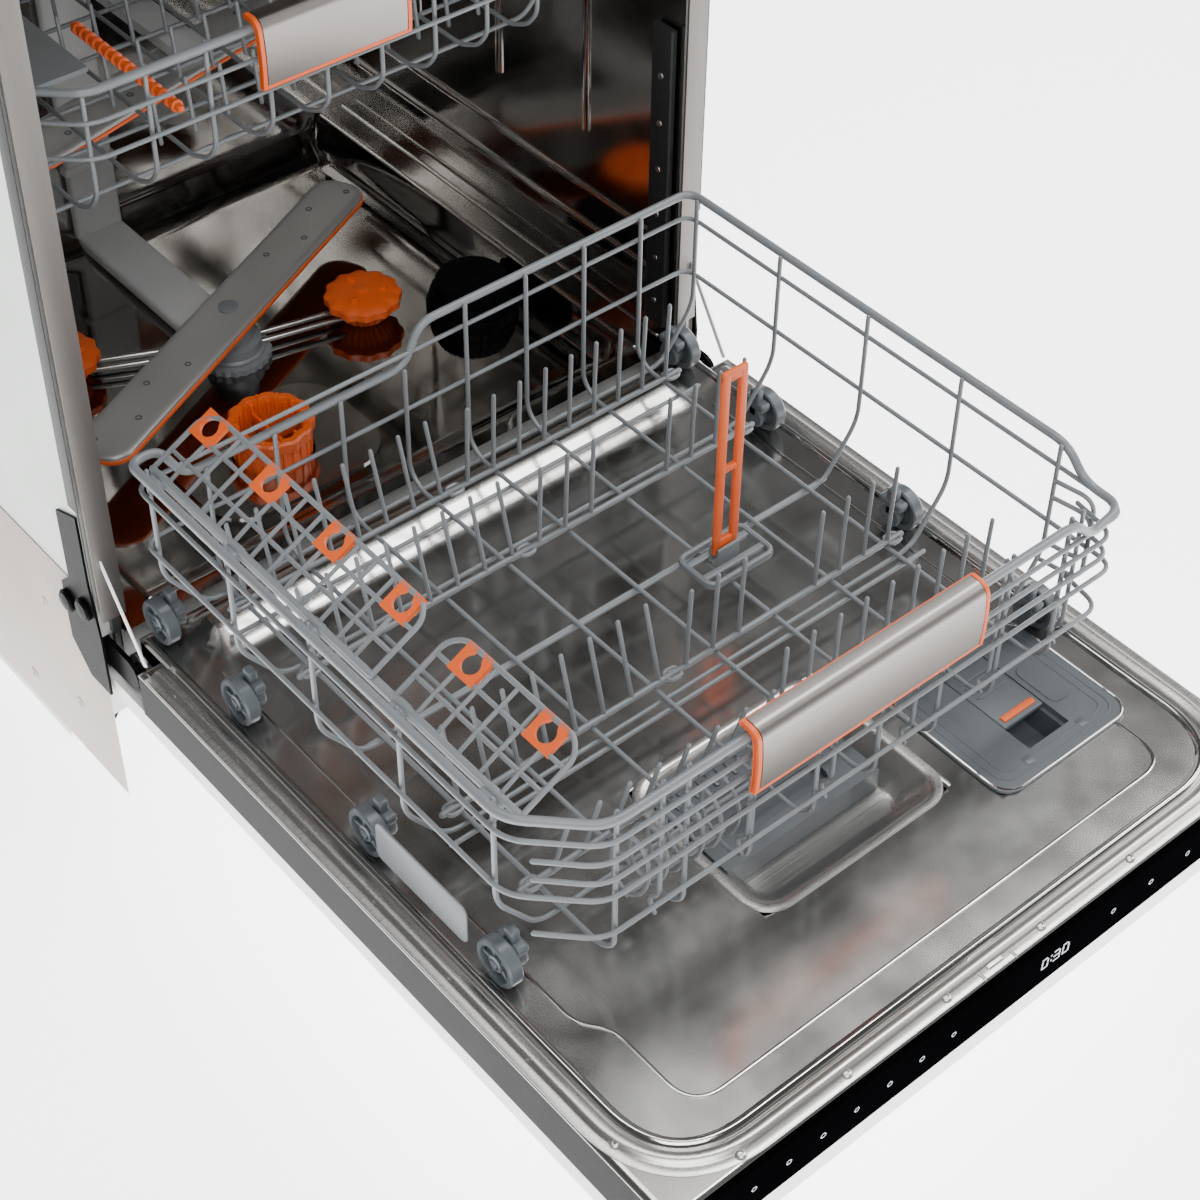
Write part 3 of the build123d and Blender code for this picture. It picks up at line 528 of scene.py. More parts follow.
# ------------------------------------------------------------------ door
def edge_strip(offsets, heights, rear, inner, front, corner):
    """A pressed strip along the door's two sides and front: each row of points is the same U-shaped
    path pushed out by an offset along its normal and lifted by a height."""
    path = smooth_path([(-inner, rear, 0), (-inner, front, 0), (inner, front, 0), (inner, rear, 0)],
                       corner, 18)
    along = np.gradient(path, axis=0)
    along /= np.linalg.norm(along, axis=1)[:, None]
    outward = np.column_stack((along[:, 1], -along[:, 0], 0 * along[:, 0]))
    rows = path[None] + np.asarray(offsets)[:, None, None] * outward[None]
    rows[:, :, 2] = np.asarray(heights)[:, None]
    return grid(rows)


def make_liner():
    """The liner is a grid with two openings and two hinge notches. Just in front of the hinge line it
    swells by 10 mm: the lesser of a slope and its fall, faded out towards the wheels' tracks."""
    low, high = corners("door_liner")
    top = high[2] - 3
    half = high[0]
    front, rear = low[1], high[1]
    notch_y = rear - 32
    notch_x = half - 21
    edge = 5.5
    holes = []
    for node in ("dispenser_body", "door_pocket"):
        a, b = corners(node)
        holes.append((a + edge, b - edge))
    xs = np.unique(np.concatenate([np.linspace(-half, half, 80), (-notch_x, notch_x)]
                                  + [(a[0], b[0]) for a, b in holes]))
    ys = np.unique(np.concatenate([np.linspace(front, rear, 150), (notch_y,)]
                                  + [(a[1], b[1]) for a, b in holes]))
    xx, yy = np.meshgrid(xs, ys)
    centre_x = (xx[1:, 1:] + xx[:-1, :-1]) / 2
    centre_y = (yy[1:, 1:] + yy[:-1, :-1]) / 2
    cut = (np.abs(centre_x) > notch_x) & (centre_y > notch_y)
    for a, b in holes:
        cut |= (centre_x > a[0]) & (centre_x < b[0]) & (centre_y > a[1]) & (centre_y < b[1])
    rise = np.clip((yy - (rear - 62)) / 29, 0, 1)
    fall = np.clip((rear - 4 - yy) / 14, 0, 1)
    inside = np.clip((240 - np.abs(xx)) / 8, 0, 1)
    swell = 10 * np.minimum(rise, fall) * inside
    sheet = np.stack((xx, yy, top + swell), axis=-1)
    points, faces = grid(sheet)
    kept = [face for face, gone in zip(faces, cut.ravel()) if not gone]
    made = piece("liner_sheet", [(points, kept)], use(liner_steel), "door", ["door_liner"])
    plate = made.modifiers.new("Thickness", "SOLIDIFY")
    plate.thickness = 1.2 * MM
    plate.offset = -1 if made.data.polygons[0].normal.z > 0 else 1


def make_liner_edges():
    """Round the liner, a bead and a rolled flange: two strips on one U-shaped path. Inside them, a fine
    pressed line on each side that steps inwards near the front."""
    low, high = corners("door_liner")
    top = high[2] - 3
    inner = high[0] - 29.5
    front, rear = low[1], high[1]
    bead = edge_strip((0, 1.5, 3, 4.5, 6, 7.5, 9),
                      top + sizes().bead * np.array((-0.1, 0.467, 0.867, 1, 0.867, 0.467, -0.1)),
                      rear - 6, inner, front + 30, 58)
    flange = edge_strip((9, 10.5, 13, 16, 19, 21, 22.5, 28.5, 29.3),
                        top + np.array((-0.3, 1.2, 3.0, 3.8, 3.2, 1.8, 0.7, 0.6, -1.2)),
                        rear - 40, inner, front + 30, 58)
    piece("liner_bead", [bead], use(mirror_steel), "door")
    piece("liner_flange", [flange], use(brushed_steel), "door")
    lines = []
    for side in (-1, 1):
        x = side * 246
        step_x = side * 230
        line = [(x, rear - 70, top), (x, front + 150, top), (step_x, front + 130, top),
                (step_x, front + 52, top), (0, front + 52, top)]
        lines.append(wire(line, 26, 1.5, Z, 8, steps=10, flat=0.7))
    piece("liner_pressed_lines", lines, use(mirror_steel), "door")


def make_screws():
    """Domed screw heads with a recess: two rows along the sides and one along the front."""
    low, high = corners("door_screws")
    radius = 4
    dome = [(radius, 0), (radius, 0.5), (3.4, 1.4), (2.2, 1.9), (1.6, 1.95), (1.5, 1.0), (POLE, 0.9)]
    places = [(x, y) for x in (low[0] + radius, high[0] - radius)
              for y in np.linspace(high[1] - radius, low[1] + 60, 7)]
    places += [(x, low[1] + radius) for x in np.linspace(-230, 230, 6)]
    heads = [lathe(dome, (x, y, low[2] + 0.8), sides=18) for x, y in places]
    piece("flange_screws", heads, use(brushed_steel), "door", ["door_screws"])


def make_dispenser_trim():
    """A bright rim, two frame lines, two catches and a round-cornered cap on the dispenser's face."""
    low, high = corners("dispenser_body")
    top = high[2]
    rings = []
    for step, radius, corner in ((1.5, 1.3, 16), (9, 0.8, 13), (16, 0.8, 9)):
        outline = rounded_outline(low[0] + step, high[0] - step, low[1] + step, high[1] - step, corner)
        line = np.column_stack((outline, np.full(len(outline), top - 0.3)))
        rings.append(tube(line, radius, Z, 8, closed=True))
    piece("dispenser_rim", rings[:1], use(mirror_steel), "door")
    lines = rings[1:]
    for x in (40, 98):
        spot = np.array((low[0] + x, low[1] + 16, top))
        lines.append(rounded_box(spot - (4, 4, 1), spot + (4, 4, 0.4), 0.5, 2))
    cap = rounded_outline(high[0] - 42, high[0] - 20, low[1] + 40, low[1] + 84, 8)
    lines.append(slab(cap, top - 0.5, top + 0.8, 0.4))
    piece("dispenser_lines", lines, use(dark_plastic), "door")


def make_lid():
    """The sliding lid with four thumb ridges, and the orange bar across its front end."""
    low, high = corners("dispenser_lid")
    body = [rounded_box(low, high - (0, 0, 1.6), 1.6)]
    for step in range(4):
        y = high[1] - 14 - 6 * step
        body.append(rounded_box((low[0] + 6, y, high[2] - 2.4), (high[0] - 6, y + 2, high[2] - 0.8), 0.7, 2))
    piece("lid_slider", body, use(dark_plastic), "dispenser_lid", ["dispenser_lid"])
    bar = rounded_box((low[0] + 4, low[1] + 4, high[2] - 2.6), (high[0] - 4, low[1] + 10, high[2]), 1.2)
    piece("lid_bar", [bar], use(orange_plastic), "dispenser_lid")


def make_pocket():
    """The drawn pocket: rounded rings run from the floor's middle up the sloped wall, over the rolled
    rim and back underneath."""
    low, high = corners("door_pocket")
    top = high[2]
    floor = low[2] + 1
    profile = ((60, 6, floor), (30, 12, floor), (26, 13, floor + 1.5), (11, 20, top - 4), (7, 22, top - 0.6),
               (4, 24, top), (1, 26, top - 0.4), (0, 26, top - 1.8), (6, 22, top - 3), (7, 20, floor - 1),
               (60, 6, floor - 1))
    rings = [(rounded_outline(low[0] + step, high[0] - step, low[1] + step, high[1] - step, corner), z)
             for step, corner, z in profile]
    piece("pocket_pan", [loft(rings)], use(brushed_steel), "door", ["door_pocket"])


def make_vent():
    """Seven ribs and a scalloped round cap on the vent unit in the pocket."""
    low, high = corners("pocket_unit")
    ribs = [rounded_box((x, high[1] - 30, high[2] - 1), (x + 4, high[1] - 6, high[2] + 1.4), 1.2, 2)
            for x in low[0] + 10 + 9 * np.arange(7)]
    cap = [(POLE, 2.4), (15, 2.2), (17, 1), (17.5, -1), (POLE, -1)]
    ribs.append(lathe(cap, (high[0] - 26, high[1] - 24, high[2]), ripple=0.02, lobes=16))
    piece("vent_ribs", ribs, use(dark_plastic), "door")


SEGMENTS = {"0": "abcdef", "3": "abcdg"}
BARS = {"a": (0, 1, True), "b": (1, 0.5, False), "c": (1, 0, False), "d": (0, 0, True), "e": (0, 0, False),
        "f": (0, 0.5, False), "g": (0, 0.5, True)}


def digit(char, x, y, z, size):
    """One seven-segment figure: each bar has a place in the figure's width and height, and lies or
    stands."""
    thick = 0.12 * size
    made = []
    for name in SEGMENTS[char]:
        u, v, lying = BARS[name]
        x0 = x + 0.55 * size * u
        z0 = z + size * v
        wide, tall = (0.5 * size, thick) if lying else (thick, 0.42 * size)
        made.append(rounded_box((x0, y - 0.25, z0), (x0 + wide, y + 0.1, z0 + tall), 0.1, 1))
    return made


def make_strip_marks():
    """Small rings and polygons for the touch fields, and three figures of remaining time."""
    low, high = corners("control_strip")
    y = low[1] + 0.1
    z = (low[2] + high[2]) / 2
    marks = []
    for char, x in zip("030", (36, 48, 57)):
        marks += digit(char, x, y, z - 5, 10)
    for dz in (-2, 3):
        marks.append(rounded_box((45, y - 0.2, z + dz), (46.5, y + 0.1, z + dz + 1.5), 0.1, 1))
    ring = [(2.4, 0.0), (2.4, 0.2), (1.8, 0.2), (1.8, 0.0)]
    for i, x in enumerate((-230, -200, -170, -140, -110, -80, -50, 110, 150, 190, 230)):
        marks.append(lathe(ring, (x, y + 0.05, z), axis=-Y, sides=6 + 6 * (i % 3)))
    piece("strip_marks", marks, use(lit_mark), "door")


def make_latch():
    """A bright striker frame round the latch opening at the door's tip."""
    low, high = corners("door_liner")
    top = high[2] - 3
    y = low[1] + 11
    loop = wire([(-15, y - 9, top), (-15, y + 10, top), (15, y + 10, top), (15, y - 9, top)], 5, 1.6, Z, 8)
    tongue = rounded_box((-8, y - 6, top - 3), (8, y + 6, top + 1.5), 1.5)
    piece("latch_frame", [loop, tongue], use(brushed_steel), "door")


# ------------------------------------------------------------------ lower rack
def rack_frame(node):
    """Half width, rear, front, rim height and floor height of a basket, from its frame node."""
    low, high = corners(node)
    r = 3.5
    return high[0] - r, high[1] - r, low[1] + r, high[2] - r, low[2] + 2.5


def rim_loop(half, rear, front, z, chamfer, step_down=0.0, jog=0.0):
    """The rim's corner points: square at the rear, chamfered at the front left; the rear run drops by
    step_down left of its middle and the front right corner by jog."""
    points = [(half, rear, z), (-10, rear, z)]
    if step_down:
        points += [(-26, rear, z - step_down), (-half + 42, rear, z - step_down),
                   (-half + 24, rear, z)]
    points += [(-half, rear, z), (-half, front + chamfer, z), (-half + chamfer, front, z)]
    points += [(half - 60, front, z)]
    if jog:
        points += [(half - 40, front, z - jog), (half, front + 6, z - jog),
                   (half, front + 40, z - jog), (half, front + 60, z)]
    else:
        points += [(half, front, z)]
    return points


def cross_rib(inside, y, rim_z, floor_z, up, across, bend):
    """A rib from rim to rim across a basket, whose lower corners are cut by up and across."""
    left = [(-inside, y, rim_z), (-inside, y, floor_z + up), (-inside + across, y, floor_z)]
    right = [(-x, y, z) for x, y, z in reversed(left)]
    return wire(left + right, bend, sizes().wire, Y, steps=8)


def make_lower_basket():
    """Wires bent in one plane each: rims run round, ribs run from rim to rim under the floor, short
    wires hang at the front and two loops stand in the front right corner."""
    half, rear, front, rim_z, floor_z = rack_frame("lower_basket")
    s = sizes()
    chamfer = 46
    outside = s.rim + s.wire
    inside = half - outside
    low_line = floor_z + 5
    wires = [wire(rim_loop(half, rear, front, rim_z, chamfer, 34, 22), s.bend, s.rim, Z, 12, closed=True)]
    for drop in (22, 76):
        loop = rim_loop(half - 1.5, rear - 1, front + 1, rim_z - drop, chamfer)
        wires.append(wire(loop, s.bend, s.wire, Z, closed=True))
    for z in rim_z - np.array((40, 58, 112)):
        line = [(-half + 14, front + chamfer - 12, z), (-half + chamfer, front + 1, z),
                (half - 10, front + 1, z), (half - 4, front + 40, z)]
        wires.append(wire(line, s.bend, s.wire, Z))
    for y in np.linspace(rear - 15, front + 62, 5):
        wires.append(cross_rib(inside, y, rim_z, floor_z, 48, 34, s.bend))
    y0, y1 = rear - outside, front + outside
    for x in np.linspace(-208, 208, 8):
        drop = 34 if x < -20 else 0
        line = [(x, y0, rim_z - drop), (x, y0, low_line + 12), (x, y0 - 14, low_line),
                (x, y1 + 14, low_line), (x, y1, low_line + 12), (x, y1, rim_z)]
        wires.append(wire(line, 10, s.wire, X, steps=8))
    for x in np.linspace(-170, 220, 6):
        line = [(x, y1, rim_z), (x, y1, low_line + 34), (x, y1 + 10, low_line + 22), (x, y1 + 4, low_line + 12)]
        wires.append(wire(line, 8, s.wire * 0.9, X, 8))
    for y in (rear - 58, front + 260, front + 150):
        wires.append(tube([(-inside + 30, y, floor_z + 1), (inside - 30, y, floor_z + 1)], s.wire, Z))
    for drop, tall in ((30, 60), (46, 63)):
        back, turn = (half - 8, front + 60), (half - 2, front + 26)
        z1 = rim_z - drop
        line = [(*back, z1), (*turn, z1), (*turn, z1 - tall), (*back, z1 - tall)]
        wires.append(wire(line, 14, s.wire, X + 0.01 * Y, steps=8))
    piece("lower_basket_wires", wires, use(coated_wire), "lower_rack", ["lower_basket"])


def make_tines():
    """Each folding row: a rod with tines whose left half leans and is shorter. Flat clips at the rod's
    middle and ends hold it on the basket. Rows 2 and 3 leave a gap for the post."""
    s = sizes()
    pitch = 26
    post_x = middle("stem_post")[0]
    clips = []
    for row, lean, shift, gap in ((1, 15, 0, 0), (2, 15, 0, 24), (3, 15, 0, 24), (4, -15, 13, 0)):
        node = f"tine_row_{row}"
        low, high = corners(node)
        half = high[0]
        y = high[1] - 2.5 if lean < 0 else low[1] + 2.5
        z = low[2] + 2.5
        parts = [tube([(-half + 3, y, z), (half - 3, y, z)], 2.5, Z)]
        for x in shift + pitch * np.arange(-8, 9):
            if abs(x - post_x) < gap:
                continue
            angle, reach, aside = (math.radians(lean), 68.4, 0 * X) if x < 0 else (0, 76, 2 * X)
            up = np.array((0.0, math.sin(angle), math.cos(angle)))
            foot = np.array((x, y, z))
            line = [foot + up, foot + up * 0.5 * reach + aside * 0.4, foot + up * (reach - 2) + aside]
            parts.append(tube(line, s.tine, X + 0.02 * Y, 8))
        for x in (-13, -half + 12, half - 12):
            clip = [(x - 6, y - 5, z), (x + 6, y - 5, z), (x + 6, y + 5, z), (x - 6, y + 5, z)]
            clips.append(wire(clip, 4, 1.6, Z, 8, closed=True))
        piece(f"tines_{row}", parts, use(coated_wire), node, [node])
    piece("tine_clips", clips, use(coated_wire), "lower_rack")


def handle_section(low, high, thick, bow):
    """A (y, z) section: a plate that bows out slightly and rolls back over the rim at its top."""
    z = np.linspace(low[2], high[2] - 10, 9)
    t = np.linspace(-1, 1, 9)
    y = low[1] + bow * t ** 2
    angle = np.linspace(np.pi, np.pi / 2, 7)
    roll = 10
    top_y = y[-1] + roll + roll * np.cos(angle)
    top_z = high[2] - roll + roll * np.sin(angle)
    outer = np.column_stack((np.concatenate((y, top_y, [high[1]])), np.concatenate((z, top_z, [high[2]]))))
    along = np.gradient(outer, axis=0)
    along /= np.linalg.norm(along, axis=1)[:, None]
    inner = outer + thick * np.column_stack((along[:, 1], -along[:, 0]))
    return np.concatenate((outer, inner[::-1]))


def make_handle(level):
    """A bent brushed plate over an orange carrier that shows as a rim round it."""
    plate_low, plate_high = corners(f"{level}_handle")
    grip_low, grip_high = corners(f"{level}_handle_grip")
    body = f"{level}_rack"
    bow = 1.2
    side_rim = 3.2
    section = handle_section(plate_low, plate_high, 1.4, bow)
    piece(f"{level}_handle_plate", [section_along_x(section, plate_low[0] + 2, plate_high[0] - 2)],
          use(handle_steel), body, [f"{level}_handle"])
    back_low = np.array((grip_low[0], plate_low[1] + 2.2, grip_low[2]))
    back_high = np.array((grip_high[0], grip_high[1], plate_high[2] - 1.6))
    parts = [section_along_x(handle_section(back_low, back_high, 3.2, bow), grip_low[0], grip_high[0])]
    edge = handle_section(plate_low - (0, 0, 3), plate_high, 4.5, bow)
    for x0 in (grip_low[0], grip_high[0] - side_rim):
        parts.append(section_along_x(edge, x0, x0 + side_rim))
    y = plate_low[1] + bow
    parts.append(rounded_box((grip_low[0], y, grip_low[2]), (grip_high[0], y + 5, grip_low[2] + 4), 1.5))
    piece(f"{level}_handle_carrier", parts, use(orange_plastic), body, [f"{level}_handle_grip"])


def make_shelf_rail():
    """Slim round-edged rail that carries the shelves, with a clamp over the rack's side at five places."""
    low, high = corners("shelf_rail")
    middle = (low[0] + high[0]) / 2
    parts = [rounded_box((middle - 2.6, low[1], low[2] + 1), (high[0], high[1], high[2]), 2)]
    for y in np.linspace(low[1] + 12, high[1] - 12, 5):
        parts.append(rounded_box((low[0] - 4, y - 7, low[2]), (high[0], y + 7, high[2] + 2), 2.4))
    piece("shelf_side_rail", parts, use(grey_plastic), "lower_rack", ["shelf_rail"])


def joint_place(name):
    """Where a joint's axis passes, from the frame's record."""
    for joint in frame["record"]["behaviour"]["joints"]:
        if joint["name"] == name:
            return np.array(joint["pos_m"]) / MM
    raise ValueError(name)


def stem_clip(v):
    """A flat clip 3.6 mm thick at v along its shelf: a square opened through a neck into a round seat."""
    angle = np.linspace(math.radians(40), math.radians(320), 24)
    seat = np.column_stack((7.2 * np.cos(angle), 8.2 * np.sin(angle)))
    neck = ((11.6, -2.4), (11.6, -12.4), (-11.4, -12.4), (-11.4, 12.4), (11.6, 12.4), (11.6, 2.4))
    outline = np.concatenate((seat, neck))[::-1] + (48, v)
    return loft([(outline, -1.8), (outline, 1.8)])


def make_shelves():
    """Each cup shelf: a rod, an edge and bars of a grid in one plane tilted up by 28 degrees, and orange
    stem clips. Bars beside a clip end short of it."""
    tilt = math.radians(28)
    along = np.array((math.cos(tilt), 0.0, math.sin(tilt)))
    normal = np.array((-math.sin(tilt), 0.0, math.cos(tilt)))
    reach = 60
    for tag, count, shift in (("rear", 4, 4), ("front", 2, 0)):
        node = f"cup_shelf_{tag}"
        low, high = corners(node)
        end = (high[1] - low[1]) / 2 - 2
        origin = joint_place(f"{node}_fold")
        origin[1] = (low[1] + high[1]) / 2
        bars = [tube([(u, -end, 0), (u, end, 0)], radius, Z, 8) for u, radius in ((0, 2.6), (19, 1.7), (39, 1.7))]
        edge = [(0, -end, 0), (reach - 12, -end, 0), (reach - 2, -end + 10, 0), (reach - 2, end - 10, 0),
                (reach - 12, end, 0), (0, end, 0)]
        bars.append(wire(edge, 6, 2.0, Z, 8))
        places = (np.arange(count) - (count - 1) / 2) * 76 + shift
        for v in np.linspace(-end, end, round((2 * end + 4) / 19))[1:-1]:
            tip = 38 if np.abs(v - places).min() < 12 else reach - 3
            bars.append(tube([(2, v, 0), (20, v, 0.8), (tip, v, 0)], 1.6, Z, 8))
        piece(f"shelf_grid_{tag}", [turned(bar, origin, along, Y, normal) for bar in bars],
              use(grey_plastic), node, [node])
        clips = [turned(stem_clip(v), origin, along, Y, normal) for v in places]
        piece(f"stem_clips_{tag}", clips, use(orange_plastic), node)


def make_post():
    """Two flat orange bars joined at the foot, the middle and the top, with a hook at the top."""
    low, high = corners("stem_post")
    y0, y1 = low[1], high[1]
    parts = []
    for x0 in (low[0], high[0] - 7):
        parts.append(rounded_box((x0, y0, low[2] + 4), (x0 + 7, y1, high[2] - 2), 1.4))
    for z, tall in ((low[2], 14), (low[2] + 80, 6), (high[2] - 10, 10)):
        parts.append(rounded_box((low[0], y0 + 0.2, z), (high[0], y1 - 0.2, z + tall), 1.4))
    piece("post_bars", parts, use(orange_plastic), "stem_post", ["stem_post"])


def make_post_base():
    """The post's foot: a moulded frame lying on the wires, crossed by two bars, with two hinge cheeks."""
    low, high = corners("post_base")
    hinge = joint_place("stem_post_fold")
    seat = low[2] + 4
    x0, x1 = low[0] + 8, high[0] - 8
    outline = rounded_outline(x0, x1, low[1] + 8, high[1] - 8, 7)
    parts = [tube(np.column_stack((outline, np.full(len(outline), seat))), 2.6, Z, 8, closed=True, flat=1.5)]
    for y in (hinge[1] - 9, hinge[1] + 9):
        parts.append(rounded_box((x0, y - 3, seat - 1.5), (x1, y + 3, seat + 1.5), 1, 2))
    for y in (hinge[1] - 6, hinge[1] + 3):
        parts.append(rounded_box((hinge[0] - 11, y, seat - 2), (hinge[0] + 11, y + 3, high[2] - 4), 1.4))
    piece("post_foot", parts, use(grey_plastic), "lower_rack", ["post_base"])


def make_wheels():
    """Rack wheels: a rounded tyre, a dished web with a capped hub, and five raised spokes."""
    wide = 11
    for i in range(1, 5):
        node = f"wheels_{i}"
        low, high = corners(node)
        centre = (low + high) / 2
        radius = (high[2] - low[2]) / 2
        tyre = [(radius - 5, 0.5), (radius - 1, 0), (radius, 1.2), (radius, wide - 1.4), (radius - 1.2, wide),
                (radius - 4.5, wide - 0.3), (radius - 5, wide - 3), (radius - 5, 0.5)]
        web = [(4.2, 3), (radius - 4.6, 4), (radius - 4.6, 6), (7, 6.5), (6.6, wide - 1), (4.6, wide - 0.2),
               (4.2, wide - 0.4), (4.2, 3)]
        spoke = rounded_box((6, -1.6, 5), (radius - 4, 1.6, wide - 2), 1, 2)
        parts = []
        for side in (-1, 1):
            axis = X * side
            at = (side * (high[0] - wide), centre[1], centre[2])
            parts.append(lathed_ring(tyre, at, axis=axis, sides=40, first=Y))
            parts.append(lathed_ring(web, at, axis=axis, sides=32, first=Y))
            for turn in np.arange(5) * 2 * np.pi / 5:
                ex = Y * math.cos(turn) + Z * math.sin(turn)
                parts.append(turned(spoke, at, ex, np.cross(axis, ex), axis))
        piece(f"wheel_pair_{i}", parts, use(wheel_plastic), node, [node])


def make_carriers():
    """Each wheel's carrier: a rounded boss round the axle, an arm up to the basket's wire, a clamp and
    a pin."""
    boss = [(POLE, 0), (10, 0), (11, 2), (9, 9), (POLE, 9.5)]
    pin = [(POLE, 0), (3.4, 0), (3.4, 12.4), (2.6, 13.2), (POLE, 13.4)]
    parts = []
    for i in range(1, 5):
        _, y, z = middle(f"wheels_{i}")
        for side, x0, x1 in both_sides(245, 254.5):
            parts.append(lathe(boss, (side * 245, y, z), axis=X * side, sides=28, first=Y))
            parts.append(rounded_box((x0, y - 5, z), (x1 - 2, y + 5, z + 26), 2))
            parts.append(rounded_box((x0 - 1, y - 12, z + 8), (x1, y + 12, z + 16), 2.5))
            parts.append(lathe(pin, (side * 254, y, z), axis=X * side, sides=18, first=Y))
    piece("wheel_brackets", parts, use(wheel_plastic), "lower_rack", ["wheel_carriers"])


def make_skirt():
    """The plate between the two front wheels on the left: an upright outline with bevelled faces."""
    low, high = corners("wheel_carriers")
    outline = rounded_outline(middle("wheels_4")[1] + 22, middle("wheels_3")[1] - 22, high[2] - 36, high[2], 7)
    rows = [np.column_stack((np.full(len(outline), low[0] + out), inset(outline, bevel)))
            for out, bevel in ((0, 1), (0.6, 0), (1.6, 0), (2.2, 1))]
    piece("skirt_plate", [grid(np.stack(rows), around=True, caps=True)], use(grey_plastic), "lower_rack")


def make_loops():
    """Six oval wire loops on a bar, each an ellipse that leans along X."""
    low, high = corners("glass_loops")
    y = (low[1] + high[1]) / 2
    parts = [rounded_box((low[0], y - 4, low[2]), (high[0] - 4, y + 4, low[2] + 4), 1.5)]
    angle = np.linspace(0, 2 * np.pi, 32, endpoint=False)
    ellipse = np.column_stack((4 * np.sin(angle), 18 * np.cos(angle), 22.5 * np.sin(angle)))
    for i in range(6):
        parts.append(tube(ellipse + (low[0] + 6 + 16 * i, y, low[2] + 27), 1.6, X, 8, closed=True))
    piece("glass_loop_row", parts, use(coated_wire), "lower_rack", ["glass_loops"])


# ------------------------------------------------------------------ tub
def make_tub_floor():
    """Height over the floor: ledges and sill at rail height, which a smooth step rolls down to the low
    floor, with a round well under the filter cup."""
    low, high = corners("tub_floor")
    well = middle("filter_cup")
    floor = low[2] + 1.2
    xx, yy = np.meshgrid(np.linspace(low[0], high[0], 190), np.linspace(low[1], high[1], 170))
    ledge = np.clip((np.abs(xx) - 236) / 12, 0, 1)
    sill = np.clip((low[1] + 62 - yy) / 48, 0, 1)
    back = np.clip((yy - (high[1] - 40)) / 40, 0, 1) * 0.5
    step = np.maximum(np.maximum(ledge, sill), back)
    step = step ** 2 * (3 - 2 * step)
    height = floor + (high[2] - floor) * step
    kept = np.clip((np.hypot(xx - well[0], yy - well[1]) - 36) / 3, 0, 1)
    height = np.where(step < 0.3, height * kept + (floor - 50) * (1 - kept), height)
    # The pressing's finish carries painted shade: a colour darker than the steel's, standing in for the dark inside
    # it mirrors.
    made = piece("tub_floor_pressing", [grid(np.stack((xx, yy, height), axis=-1))], use(floor_steel_painted_shade),
                 "cabinet", ["tub_floor"])
    if made.data.polygons[0].normal.z < 0:
        made.data.flip_normals()


def make_tub_ribs():
    """Pressed ribs: three along each side wall, three upright behind them and two on each ledge."""
    low, high = corners("tub_wrapper")
    floor_low, floor_high = corners("tub_floor")
    front, back = low[1], high[1]
    ribs = []
    for side in (-1, 1):
        x = side * (high[0] - 1.2)
        ribs += [tube([(x, front + 20, z), (x, back - 30, z)], 3, Z, flat=1.6) for z in (262, 300, 700)]
        ribs += [tube([(x, y, 360), (x, y, 660)], 2.5, Y, flat=2.0) for y in front + np.array((120, 240, 360))]
    z = floor_high[2]
    for x in (-246, -272, 246, 272):
        ribs.append(tube([(x, floor_low[1] + 20, z), (x, floor_high[1] - 12, z)], 2.4, Z, flat=0.8))
    piece("tub_wall_ribs", ribs, use(mirror_steel), "cabinet")


def make_hinge_corners():
    """On each side a black hinge cheek with two knobs, the door balance's white strap and the base's
    side with its screw bosses."""
    low, high = corners("outer_panels")
    front, edge = low[1], high[0]
    cheek = np.array(((26, 150), (48, 176), (48, 236), (34, 250), (34, 318), (4, 330), (4, 262), (-2, 208),
                      (-2, 150))) + (front, 0)
    knob = [(POLE, 0), (9, 0), (9.5, 3), (8, 4.6), (3, 5), (POLE, 5.2)]
    cheeks = []
    for side, x0, x1 in both_sides(edge + 0.2, edge + 2.2):
        cheeks.append(section_along_x(cheek, x0, x1))
        for y, z in ((14, 232), (40, 222)):
            cheeks.append(lathe(knob, (side * (edge + 2.2), front + y, z), axis=X * side, sides=24,
                                ripple=0.03, lobes=8, first=Y))
    piece("hinge_cheeks", cheeks, use(black_plastic), "cabinet")
    start = np.array((front - 1, 285))
    end = np.array((20, 211))
    run = (end - start) / np.linalg.norm(end - start)
    aside = np.array((-run[1], run[0])) * 2.2
    strap = [start - aside, start + aside, end + aside, end - aside]
    straps = [section_along_x(strap, x0, x1) for _, x0, x1 in both_sides(edge - 9, edge - 8)]
    piece("balance_straps", straps, use(white_lacquer), "cabinet")
    boss = [(POLE, 0), (6, 0), (5, 0.9), (2, 0.9), (1.8, 0.3), (POLE, 0.3)]
    covers = []
    for side, x0, x1 in both_sides(edge + 0.1, edge + 1.0):
        covers.append(rounded_box((x0, front + 3, 30), (x1, high[1] - 3, 246), 0.4, 2))
        for y, z in ((60, 90), (140, 60), (90, 180), (300, 120), (420, 60)):
            covers.append(lathe(boss, (side * (edge + 1.0), front + y, z), axis=X * side, sides=20, first=Y))
    piece("base_side_covers", covers, use(base_plastic), "cabinet")


def base_plastic():
    """Warm grey recycled plastic of the base."""
    return finish("Warm grey plastic", "#B4A9A1", 0.0, 0.5, (2, 2, 2), spread=0.06, bump=0.2, depth=0.05, tint=0.08)


